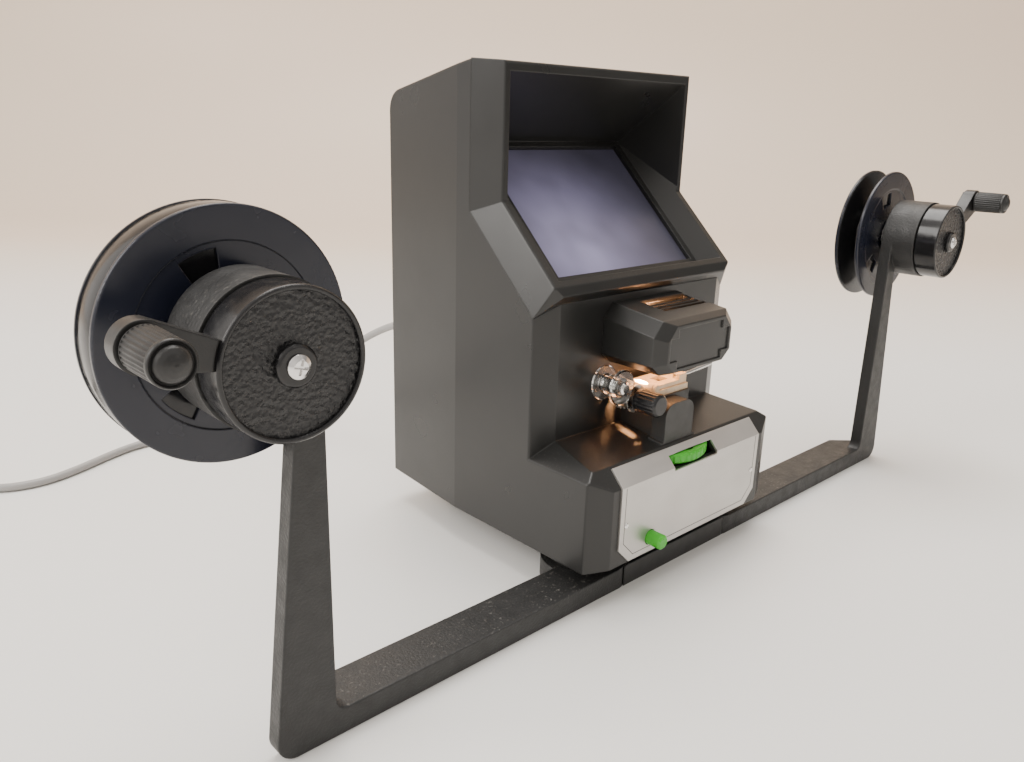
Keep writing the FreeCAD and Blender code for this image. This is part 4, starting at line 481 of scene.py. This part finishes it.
def metal_finish(name, tone, roughness, settings, turned=False):
    """Plain metal with fine tool marks, along Y where the piece was turned."""
    material, tree, shader = start_finish(name, tone, roughness, 1.0)
    stretch = (1.0, 0.2, 1.0) if turned else (1.0, 1.0, 1.0)
    marks = grain(tree, 0.0005, 3.0, stretch)
    put_bumps(tree, shader, [(marks, 0.000012)], settings.soft_edge * 0.4)
    vary_roughness(tree, shader, roughness * 0.75, roughness * 1.35, 0.003)
    stain = spread(tree, grain(tree, 0.006, 3.0), 0.4, 0.75, 0.0, 1.0)
    dull = tuple(part * 0.8 for part in tone)
    tree.links.new(tinted(tree, stain, tone, dull), shader.inputs["Base Color"])
    return material


def moulded_finish(name, tone, roughness, settings):
    """Plain moulded piece with a faint unevenness of colour and surface."""
    material, tree, shader = start_finish(name, tone, roughness)
    fine = grain(tree, 0.0005, 2.0)
    put_bumps(tree, shader, [(fine, 0.00002)], settings.soft_edge * 0.6)
    vary_roughness(tree, shader, roughness * 0.85, roughness * 1.2, 0.005)
    cloud = spread(tree, grain(tree, 0.007, 3.0), 0.35, 0.7, 0.0, 1.0)
    deep = tuple(part * 0.85 for part in tone)
    tree.links.new(tinted(tree, cloud, tone, deep), shader.inputs["Base Color"])
    return material


def glass_finish(name, tone, roughness, smear):
    """Clear glass or moulding with faint smears."""
    material, tree, shader = start_finish(name, tone, roughness)
    shader.inputs["Transmission Weight"].default_value = 1.0
    shader.inputs["IOR"].default_value = 1.49
    vary_roughness(tree, shader, roughness, roughness + smear, 0.004)
    put_bumps(tree, shader, [(grain(tree, 0.004, 1.0), 0.00002)])
    return material


def lamp_finish(settings):
    """Lit bulb."""
    material, tree, shader = start_finish("lit_bulb", (1.0, 0.8, 0.6), 0.1)
    shader.inputs["Emission Color"].default_value = (*settings.lamp_light, 1.0)
    glow = spread(tree, grain(tree, 0.004, 1.0), 0.3, 0.7, 9.0, 14.0)
    tree.links.new(glow, shader.inputs["Emission Strength"])
    return material


def winding_finish():
    """Dark core plates, stacked along Y, round a taped winding."""
    material, tree, shader = start_finish("core_plates", (0.10, 0.085, 0.07), 0.5, 0.6)
    sheets = grain(tree, 0.0005, 1.0, (40.0, 1.0, 40.0))
    put_bumps(tree, shader, [(sheets, 0.0001)])
    tree.links.new(tinted(tree, sheets, (0.06, 0.05, 0.045), (0.16, 0.13, 0.10)),
                   shader.inputs["Base Color"])
    return material


def rubber_finish(name, tone, roughness):
    material, tree, shader = start_finish(name, tone, roughness)
    fine = grain(tree, 0.0004, 3.0)
    put_bumps(tree, shader, [(fine, 0.00003)], 0.0004)
    vary_roughness(tree, shader, roughness * 0.85, min(1.0, roughness * 1.15), 0.006)
    put_dust(tree, shader, tone, 0.4, 0.0006)
    return material


# Operators

class VIEWER_OT_casing(bpy.types.Operator):
    """Finish the casing, hood, covers and lamp housing in satin enamel"""
    bl_idname = "viewer.casing"
    bl_label = "Casing"
    bl_options = {"REGISTER", "UNDO"}

    def execute(self, context):
        scene = context.scene
        settings = scene.viewer_finish
        give(enamel_finish(settings), "casing", "screen_hood", "rear_cover", "bottom_plate",
             "lamp_housing")
        give(metal_finish("screw_steel", (0.42, 0.41, 0.39), 0.34, settings), "cover_screws")
        give(rubber_finish("foot_rubber", black_rubber, 0.7), "rear_feet")
        return {"FINISHED"}


class VIEWER_OT_screen(bpy.types.Operator):
    """Finish the viewing screen as lit frosted glass"""
    bl_idname = "viewer.screen"
    bl_label = "Viewing screen"
    bl_options = {"REGISTER", "UNDO"}

    def execute(self, context):
        scene = context.scene
        give(screen_finish(scene.viewer_finish), "viewing_screen")
        return {"FINISHED"}


class VIEWER_OT_controls(bpy.types.Operator):
    """Finish the name plate, its pins, the focus wheel and the lamp switch"""
    bl_idname = "viewer.controls"
    bl_label = "Name plate and controls"
    bl_options = {"REGISTER", "UNDO"}

    def execute(self, context):
        scene = context.scene
        settings = scene.viewer_finish
        give(plate_finish(settings), "name_plate")
        give(metal_finish("pin_nickel", (0.86, 0.85, 0.83), 0.16, settings), "plate_pins")
        give(green_finish(settings), "focus_wheel", "switch_button")
        give(satin_finish(settings), "lamp_switch")
        return {"FINISHED"}


class VIEWER_OT_film_path(bpy.types.Operator):
    """Finish the gate, sprocket, prism, guide roller and their gears"""
    bl_idname = "viewer.film_path"
    bl_label = "Film path"
    bl_options = {"REGISTER", "UNDO"}

    def execute(self, context):
        scene = context.scene
        settings = scene.viewer_finish
        cream = moulded_finish("cream_moulding", tuple(settings.cream), 0.3, settings)
        give(cream, "film_gate", "pressure_plate")
        casting = moulded_finish("grey_casting", tuple(settings.casting), 0.42, settings)
        give(casting, "gate_block")
        nickel = metal_finish("bright_nickel", (0.82, 0.80, 0.77), 0.14, settings, True)
        give(nickel, "gate_lever", "roller_shaft")
        give(metal_finish("turned_steel", (0.55, 0.54, 0.52), 0.28, settings, True),
             "film_sprocket")
        give(gloss_finish(settings), "sprocket_knob")
        give(glass_finish("clear_roller", (0.95, 0.96, 0.96), 0.04, 0.06), "guide_roller")
        give(glass_finish("prism_glass", (0.97, 0.98, 0.98), 0.0, 0.03), "prism")
        ivory = moulded_finish("ivory_nylon", (0.62, 0.58, 0.46), 0.45, settings)
        give(ivory, "prism_gear", "sprocket_gear")
        return {"FINISHED"}


class VIEWER_OT_light_path(bpy.types.Operator):
    """Finish the lamp, lenses, mirrors and transformer"""
    bl_idname = "viewer.light_path"
    bl_label = "Lamp, lens and mirrors"
    bl_options = {"REGISTER", "UNDO"}

    def execute(self, context):
        scene = context.scene
        settings = scene.viewer_finish
        give(lamp_finish(settings), "lamp_bulb")
        give(metal_finish("socket_brass", (0.70, 0.50, 0.24), 0.32, settings), "lamp_socket")
        give(glass_finish("ground_glass", (0.97, 0.98, 0.98), 0.0, 0.02), "condenser_lens",
             "lens_glass")
        give(metal_finish("silvered_glass", (0.90, 0.90, 0.90), 0.03, settings),
             "projection_mirror", "lower_mirror")
        give(moulded_finish("mount_casting", tuple(settings.casting), 0.5, settings),
             "lens_mount")
        give(satin_finish(settings), "lens_barrel")
        give(winding_finish(), "transformer")
        return {"FINISHED"}


class VIEWER_OT_arms(bpy.types.Operator):
    """Finish the arms in texture paint, with the bar and pivots between them"""
    bl_idname = "viewer.arms"
    bl_label = "Arms"
    bl_options = {"REGISTER", "UNDO"}

    def execute(self, context):
        scene = context.scene
        settings = scene.viewer_finish
        give(texture_paint_finish(settings), *both("arm"))
        give(satin_finish(settings), "centre_bar")
        give(metal_finish("bush_brass", (0.66, 0.47, 0.22), 0.3, settings, True),
             *both("arm_bush"))
        give(metal_finish("pivot_steel", (0.45, 0.44, 0.42), 0.36, settings), "pivot_screws")
        return {"FINISHED"}


class VIEWER_OT_rewinds(bpy.types.Operator):
    """Finish the cranks: drums, coarse faces, screws, levers, grips and spindles"""
    bl_idname = "viewer.rewinds"
    bl_label = "Rewinds"
    bl_options = {"REGISTER", "UNDO"}

    def execute(self, context):
        scene = context.scene
        settings = scene.viewer_finish
        give(gloss_finish(settings), *both("crank_drum"))
        give(drum_face_finish(settings), *both("drum_face"))
        give(satin_finish(settings), *both("crank_lever", "grip"))
        give(metal_finish("screw_chrome", (0.86, 0.85, 0.84), 0.12, settings), *both("drum_screw"))
        give(metal_finish("spindle_steel", (0.50, 0.49, 0.47), 0.26, settings, True),
             *both("spindle"))
        return {"FINISHED"}


class VIEWER_OT_reels(bpy.types.Operator):
    """Finish the blue-black reels"""
    bl_idname = "viewer.reels"
    bl_label = "Reels"
    bl_options = {"REGISTER", "UNDO"}

    def execute(self, context):
        scene = context.scene
        give(reel_finish(scene.viewer_finish), *both("reel_core", "reel_flange"))
        return {"FINISHED"}


def coil_points():
    """Points of the wound cord, in to the middle on the floor and out again on top."""
    last = cord_route[-1]
    across = Vector((last[0] - coil_centre[0], last[1] - coil_centre[1]))
    first_angle = math.atan2(across.y, across.x) + math.acos(coil_outer / across.length)
    middle = coil_turns_down + coil_climb / 2
    count = round((coil_turns_down + coil_climb + coil_turns_up) * coil_steps)
    points = []
    for index in range(count + 1):
        turn = index / coil_steps
        radius = coil_outer - coil_pitch * (middle - abs(turn - middle))
        share = min(1.0, max(0.0, (turn - coil_turns_down) / coil_climb))
        angle = first_angle + 2 * math.pi * turn
        points.append(Vector((
            coil_centre[0] + radius * math.cos(angle),
            coil_centre[1] + radius * math.sin(angle),
            coil_floor + coil_pitch * (1 - math.cos(math.pi * share)) / 2)))
    heading = Vector((-math.sin(angle), math.cos(angle), 0.0))
    points.append(points[-1] + heading * coil_lead)
    return points


class VIEWER_OT_cord(bpy.types.Operator):
    """Lay the cord from its strain relief to the plug, with its spare length coiled"""
    bl_idname = "viewer.cord"
    bl_label = "Cord and plug"
    bl_options = {"REGISTER", "UNDO"}

    def execute(self, context):
        scene = context.scene
        sizes = scene.viewer_cord
        settings = scene.viewer_finish
        points = [cord_start, *cord_route, *coil_points()]
        curve = bpy.data.curves.new("mains_cord", "CURVE")
        curve.dimensions = "3D"
        curve.bevel_depth = sizes.diameter / 2
        curve.bevel_resolution = 5
        curve.resolution_u = 6
        curve.use_fill_caps = True
        spline = curve.splines.new("NURBS")
        spline.points.add(len(points) - 1)
        for point, place in zip(spline.points, points):
            point.co = (*place, 1.0)
        spline.order_u = 3
        spline.use_endpoint_u = True
        grey = rubber_finish("cord_insulation", tuple(settings.cord_grey), 0.42)
        curve.materials.append(grey)
        cord = bpy.data.objects.new("mains_cord", curve)
        scene.collection.objects.link(cord)
        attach(cord, "viewer")
        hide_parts("cord_tube", "cord_coil")
        tie = self.make_tie(sizes)
        dark = tuple(part * 0.8 for part in settings.cord_grey)
        give(rubber_finish("plug_moulding", dark, 0.45), "plug", "strain_relief")
        return {"FINISHED"}

    def make_tie(self, sizes):
        """Strap round the coil's turns, opposite the plug."""
        select_none()
        inner = coil_outer - coil_pitch * (coil_turns_down + coil_climb / 2)
        middle = (coil_outer + inner) / 2
        wide = coil_outer - inner + sizes.diameter
        high = coil_pitch + sizes.diameter - sizes.tie_thick
        across = Vector((math.cos(tie_angle), math.sin(tie_angle), 0.0))
        along = Vector((-across.y, across.x, 0.0))
        rise = coil_floor + (coil_pitch + sizes.tie_thick) / 2
        place = Vector((*coil_centre, rise)) + across * middle
        bpy.ops.mesh.primitive_cube_add(size=1, location=place, rotation=(0, 0, tie_angle),
                                        scale=(wide, sizes.tie_width, high))
        tie = bpy.context.object
        tie.name = "coil_tie"
        bpy.ops.object.transform_apply(location=True, rotation=True, scale=True)
        mesh = tie.data
        choose_faces(mesh, lambda face: abs(face.normal.dot(along)) > 0.9)
        bpy.ops.object.mode_set(mode="EDIT")
        bpy.ops.mesh.delete(type="FACE")
        bpy.ops.object.mode_set(mode="OBJECT")
        choose_edges(mesh, lambda first, last: (last - first).cross(along).length < near)
        bpy.ops.object.mode_set(mode="EDIT")
        bpy.ops.mesh.bevel(offset=sizes.diameter * tie_round, segments=tie_steps)
        bpy.ops.object.mode_set(mode="OBJECT")
        finish_shell(tie, sizes.tie_thick, 1.0)
        tie.data.materials.append(rubber_finish("strap_rubber", black_rubber, 0.6))
        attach(tie, "viewer")
        return tie


class VIEWER_OT_border(bpy.types.Operator):
    """Draw the thin border line round the name plate's face"""
    bl_idname = "viewer.border"
    bl_label = "Plate border"
    bl_options = {"REGISTER", "UNDO"}

    def execute(self, context):
        scene = context.scene
        trim = scene.viewer_trim
        select_none()
        half = plate_high.x - trim.border_inset
        low = plate_low.z + trim.border_inset
        bpy.ops.mesh.primitive_plane_add(
            size=1, location=(0, flat_face_y(), (low + crease_height) / 2),
            rotation=(math.pi / 2, 0, 0))
        border = bpy.context.object
        border.name = "plate_border"
        border.scale = (2 * half, crease_height - low, 1)
        bpy.ops.object.transform_apply(location=True, rotation=True, scale=True)
        mesh = border.data
        choose_vertices(mesh, lambda place: place.z < (low + crease_height) / 2)
        bpy.ops.object.mode_set(mode="EDIT")
        bpy.ops.mesh.bevel(offset=plate_corner, affect="VERTICES")
        bpy.ops.mesh.select_all(action="SELECT")
        bpy.ops.mesh.inset(thickness=trim.border_width)
        bpy.ops.mesh.delete(type="FACE")
        bpy.ops.object.mode_set(mode="OBJECT")
        choose_faces(mesh, lambda face: face.center.z > crease_height - 2 * trim.border_width)
        bpy.ops.object.mode_set(mode="EDIT")
        bpy.ops.mesh.delete(type="FACE")
        bpy.ops.object.mode_set(mode="OBJECT")
        finish_shell(border, trim.border_width / 6, 0.0)
        # The border line is a thin strip in a dark tone, just in front of the plate's face
        border.data.materials.append(
            moulded_finish("border_print", border_line_tone, 0.5, scene.viewer_finish))
        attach(border, "viewer")
        return {"FINISHED"}


class VIEWER_OT_linings(bpy.types.Operator):
    """Close the left reel with a rim wall and line the right one like a bobbin"""
    bl_idname = "viewer.linings"
    bl_label = "Reel linings"
    bl_options = {"REGISTER", "UNDO"}

    def execute(self, context):
        scene = context.scene
        trim = scene.viewer_trim
        finish = gloss_finish(scene.viewer_finish)
        reach = (core_high.z - core_low.z) / 2 - trim.rim_inset
        self.make_lining("reel_rim_left", trim, finish, "left", reach, hub_radius)
        self.make_lining("reel_bobbin_right", trim, finish, "right", hub_radius, reach)
        return {"FINISHED"}

    def make_lining(self, name, trim, finish, side, wall, edge):
        """Round wall between the flanges, with both its ends turned in or out to edge."""
        select_none()
        low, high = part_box("reel_core_" + side)
        centre = (low + high) / 2
        front = flange_high.y + trim.lining_gap
        rear = core_high.y - flange_thick - trim.lining_gap
        centre.y = (front + rear) / 2
        bpy.ops.mesh.primitive_cylinder_add(
            vertices=lining_sides, radius=wall, depth=rear - front, end_fill_type="NOTHING",
            location=centre, rotation=(math.pi / 2, 0, 0))
        lining = bpy.context.object
        lining.name = name
        bpy.ops.object.transform_apply(location=True, rotation=True, scale=True)
        for end in (front, rear):
            choose_edges(lining.data, lambda first, last: (
                abs(first.y - end) < near and abs(last.y - end) < near))
            bpy.ops.object.mode_set(mode="EDIT")
            bpy.ops.mesh.extrude_edges_move()
            bpy.ops.transform.resize(value=(edge / wall, 1, edge / wall),
                                     center_override=(centre.x, end, centre.z))
            bpy.ops.object.mode_set(mode="OBJECT")
        finish_shell(lining, trim.lining_thick, 0.0)
        lining.data.materials.append(finish)
        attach(lining, "reel_" + side)


def flat_face_y():
    """Y just in front of the plate's flat face, which is the plate's foremost place."""
    mesh = nodes["name_plate"].data
    return min(vertex.co.y for vertex in mesh.vertices) - line_lift


def select_none():
    if bpy.context.object and bpy.context.object.mode != "OBJECT":
        bpy.ops.object.mode_set(mode="OBJECT")
    bpy.ops.object.select_all(action="DESELECT")


def choose_vertices(mesh, wanted):
    for face in mesh.polygons:
        face.select = False
    for edge in mesh.edges:
        edge.select = False
    for vertex in mesh.vertices:
        vertex.select = wanted(vertex.co)


def choose_edges(mesh, wanted):
    """Select the edges whose two ends are as wanted, in edge mode."""
    choose_vertices(mesh, lambda place: False)
    for edge in mesh.edges:
        first, last = (mesh.vertices[index].co for index in edge.vertices)
        edge.select = wanted(first, last)
        if edge.select:
            for index in edge.vertices:
                mesh.vertices[index].select = True


def choose_faces(mesh, wanted):
    choose_vertices(mesh, lambda place: False)
    for face in mesh.polygons:
        face.select = wanted(face)
        if face.select:
            for index in face.vertices:
                mesh.vertices[index].select = True


def finish_shell(piece, thick, offset):
    """Give a sheet its thickness, soften its edges and turn its faces outwards."""
    select_none()
    piece.select_set(True)
    bpy.context.view_layer.objects.active = piece
    bpy.ops.object.mode_set(mode="EDIT")
    bpy.ops.mesh.select_all(action="SELECT")
    bpy.ops.mesh.normals_make_consistent(inside=False)
    bpy.ops.object.mode_set(mode="OBJECT")
    bpy.ops.object.modifier_add(type="SOLIDIFY")
    piece.modifiers[-1].thickness = thick
    piece.modifiers[-1].offset = offset
    bpy.ops.object.modifier_apply(modifier=piece.modifiers[-1].name)
    bpy.ops.object.modifier_add(type="BEVEL")
    piece.modifiers[-1].width = thick * edge_share
    piece.modifiers[-1].segments = edge_steps
    bpy.ops.object.modifier_apply(modifier=piece.modifiers[-1].name)
    bpy.ops.object.mode_set(mode="EDIT")
    bpy.ops.mesh.select_all(action="SELECT")
    bpy.ops.mesh.normals_make_consistent(inside=False)
    bpy.ops.object.mode_set(mode="OBJECT")
    bpy.ops.object.shade_smooth_by_angle(angle=sharp_angle)


def add_light(kind, name, power, place, tone):
    bpy.ops.object.light_add(type=kind, location=place)
    lamp = bpy.context.object
    lamp.name = name
    lamp.data.energy = power
    lamp.data.color = tone
    return lamp


def aim_light(lamp, place, target):
    lamp.rotation_mode = "QUATERNION"
    lamp.rotation_quaternion = (Vector(target) - Vector(place)).to_track_quat("-Z", "Y")


class VIEWER_OT_stage(bpy.types.Operator):
    """Set up the floor, the soft lights and the camera"""
    bl_idname = "viewer.stage"
    bl_label = "Stage"
    bl_options = {"REGISTER", "UNDO"}

    def execute(self, context):
        scene = context.scene
        stage = scene.viewer_stage
        self.make_floor(stage)
        self.make_lights(scene, stage)
        self.make_camera(scene, stage)
        return {"FINISHED"}

    def make_floor(self, stage):
        """Table top that curves up into a wall behind the part."""
        select_none()
        half = stage.floor_size / 2
        bpy.ops.mesh.primitive_plane_add(size=stage.floor_size, location=(0, 0, 0))
        floor = bpy.context.object
        floor.name = "floor"
        mesh = floor.data
        choose_edges(mesh, lambda first, last: first.y > 0 and last.y > 0)
        bpy.ops.object.mode_set(mode="EDIT")
        bpy.ops.mesh.select_mode(type="EDGE")
        bpy.ops.transform.translate(value=(0, stage.wall_distance - half, 0))
        bpy.ops.mesh.extrude_region_move(TRANSFORM_OT_translate={"value": (0, 0, half)})
        bpy.ops.object.mode_set(mode="OBJECT")
        for edge in mesh.edges:
            ends = [mesh.vertices[index].co for index in edge.vertices]
            edge.select = all(end.y > 0 and end.z < 0.01 for end in ends)
        bpy.ops.object.mode_set(mode="EDIT")
        bpy.ops.mesh.bevel(offset=bend_radius, segments=bend_steps)
        bpy.ops.mesh.select_all(action="SELECT")
        bpy.ops.transform.rotate(value=stage.camera_turn, orient_axis="Z",
                                 center_override=(0, 0, 0))
        bpy.ops.object.mode_set(mode="OBJECT")
        bpy.ops.object.shade_smooth()
        material, tree, shader = start_finish("floor", tuple(stage.floor_colour), 0.4)
        cloud = spread(tree, grain(tree, 0.5, 2.0), 0.3, 0.7, 0.36, 0.44)
        tree.links.new(cloud, shader.inputs["Roughness"])
        behind = add(tree, "ShaderNodeVectorMath", operation="DOT_PRODUCT")
        behind.inputs[1].default_value = (math.sin(stage.camera_turn),
                                          math.cos(stage.camera_turn), 1.0)
        tree.links.new(object_place(tree), behind.inputs[0])
        share = spread(tree, behind.outputs["Value"], *tone_span, 0.0, 1.0)
        tree.links.new(tinted(tree, share, tuple(stage.floor_colour), tuple(stage.wall_colour)),
                       shader.inputs["Base Color"])
        mesh.materials.append(material)

    def make_lights(self, scene, stage):
        world = bpy.data.worlds.new("room")
        world.use_nodes = True
        tree = world.node_tree
        background = tree.nodes["Background"]
        background.inputs["Color"].default_value = (*stage.sky, 1.0)
        facing = add(tree, "ShaderNodeTexCoord")
        side = add(tree, "ShaderNodeVectorMath", operation="DOT_PRODUCT")
        side.inputs[1].default_value = bright_way
        tree.links.new(facing.outputs["Generated"], side.inputs[0])
        strength = spread(tree, side.outputs["Value"], *bright_span, stage.sky_dim,
                          stage.sky_bright)
        tree.links.new(strength, background.inputs["Strength"])
        scene.world = world
        for name, size, place, tone in soft_lights:
            lamp = add_light("AREA", name, getattr(stage, name + "_power"), place, tone)
            lamp.data.size = size
            aim_light(lamp, place, light_aim)
        self.make_lamp_light(stage, tuple(scene.viewer_finish.lamp_light))

    def make_lamp_light(self, stage, tone):
        """Light of the bulb in its housing, down on the gate and out over the ledge."""
        bulb = (bulb_low + bulb_high) / 2
        inside = bulb + Vector(inside_shift)
        lamp = add_light("POINT", "lamp_inside", stage.lamp_power, inside, tone)
        lamp.data.shadow_soft_size = inside_radius
        under = (0.0, bulb.y, housing_low.z - panel_drop)
        panel = add_light("AREA", "gate_light", stage.gate_power, under, tone)
        panel.data.shape = "RECTANGLE"
        panel.data.size, panel.data.size_y = panel_size
        source = (beam_x, bulb.y, housing_low.z - beam_drop)
        beam = add_light("SPOT", "ledge_light", stage.ledge_power, source, tone)
        beam.data.spot_size = beam_angle
        beam.data.spot_blend = beam_blend
        beam.data.shadow_soft_size = beam_radius
        aim_light(beam, source, (ledge_x, bulb.y + ledge_shift, ledge_height))

    def make_camera(self, scene, stage):
        turn, dip, roll = stage.camera_turn, stage.camera_dip, stage.camera_roll
        forward = Vector((math.sin(turn) * math.cos(dip), math.cos(turn) * math.cos(dip),
                          -math.sin(dip)))
        level = Vector((math.cos(turn), -math.sin(turn), 0.0))
        right = level * math.cos(roll) + level.cross(forward) * math.sin(roll)
        up = right.cross(forward)
        data = bpy.data.cameras.new("camera")
        data.lens = stage.lens
        data.sensor_width = sensor_width
        data.clip_start = nearest_view
        camera = bpy.data.objects.new("camera", data)
        scene.collection.objects.link(camera)
        axes = Matrix((right, up, -forward)).transposed().to_4x4()
        camera.matrix_world = Matrix.Translation(stage.camera_place) @ axes
        scene.camera = camera


operators = (
    VIEWER_OT_stage, VIEWER_OT_cord, VIEWER_OT_casing, VIEWER_OT_screen, VIEWER_OT_controls,
    VIEWER_OT_film_path, VIEWER_OT_light_path, VIEWER_OT_arms, VIEWER_OT_rewinds,
    VIEWER_OT_reels, VIEWER_OT_border, VIEWER_OT_linings,
)


class VIEWER_PT_panel(bpy.types.Panel):
    """Lists the settings and the pieces of the viewer"""
    bl_idname = "VIEWER_PT_panel"
    bl_label = "Film Editor Viewer"
    bl_space_type = "VIEW_3D"
    bl_region_type = "UI"
    bl_category = "Film Editor"

    def draw(self, context):
        layout = self.layout
        for settings in (context.scene.viewer_finish, context.scene.viewer_cord,
                         context.scene.viewer_trim, context.scene.viewer_stage):
            box = layout.box()
            for name in settings.__annotations__:
                box.prop(settings, name)
        for operator in operators:
            layout.operator(operator.bl_idname)


groups = (FinishSettings, CordSettings, TrimSettings, StageSettings)


def register():
    for kind in (*groups, *operators, VIEWER_PT_panel):
        bpy.utils.register_class(kind)
    bpy.types.Scene.viewer_finish = bpy.props.PointerProperty(type=FinishSettings)
    bpy.types.Scene.viewer_cord = bpy.props.PointerProperty(type=CordSettings)
    bpy.types.Scene.viewer_trim = bpy.props.PointerProperty(type=TrimSettings)
    bpy.types.Scene.viewer_stage = bpy.props.PointerProperty(type=StageSettings)


def unregister():
    del bpy.types.Scene.viewer_stage
    del bpy.types.Scene.viewer_trim
    del bpy.types.Scene.viewer_cord
    del bpy.types.Scene.viewer_finish
    for kind in reversed((*groups, *operators, VIEWER_PT_panel)):
        bpy.utils.unregister_class(kind)


def main():
    register()
    for operator in operators:
        area, name = operator.bl_idname.split(".")
        getattr(getattr(bpy.ops, area), name)()


if __name__ == "__main__":
    main()
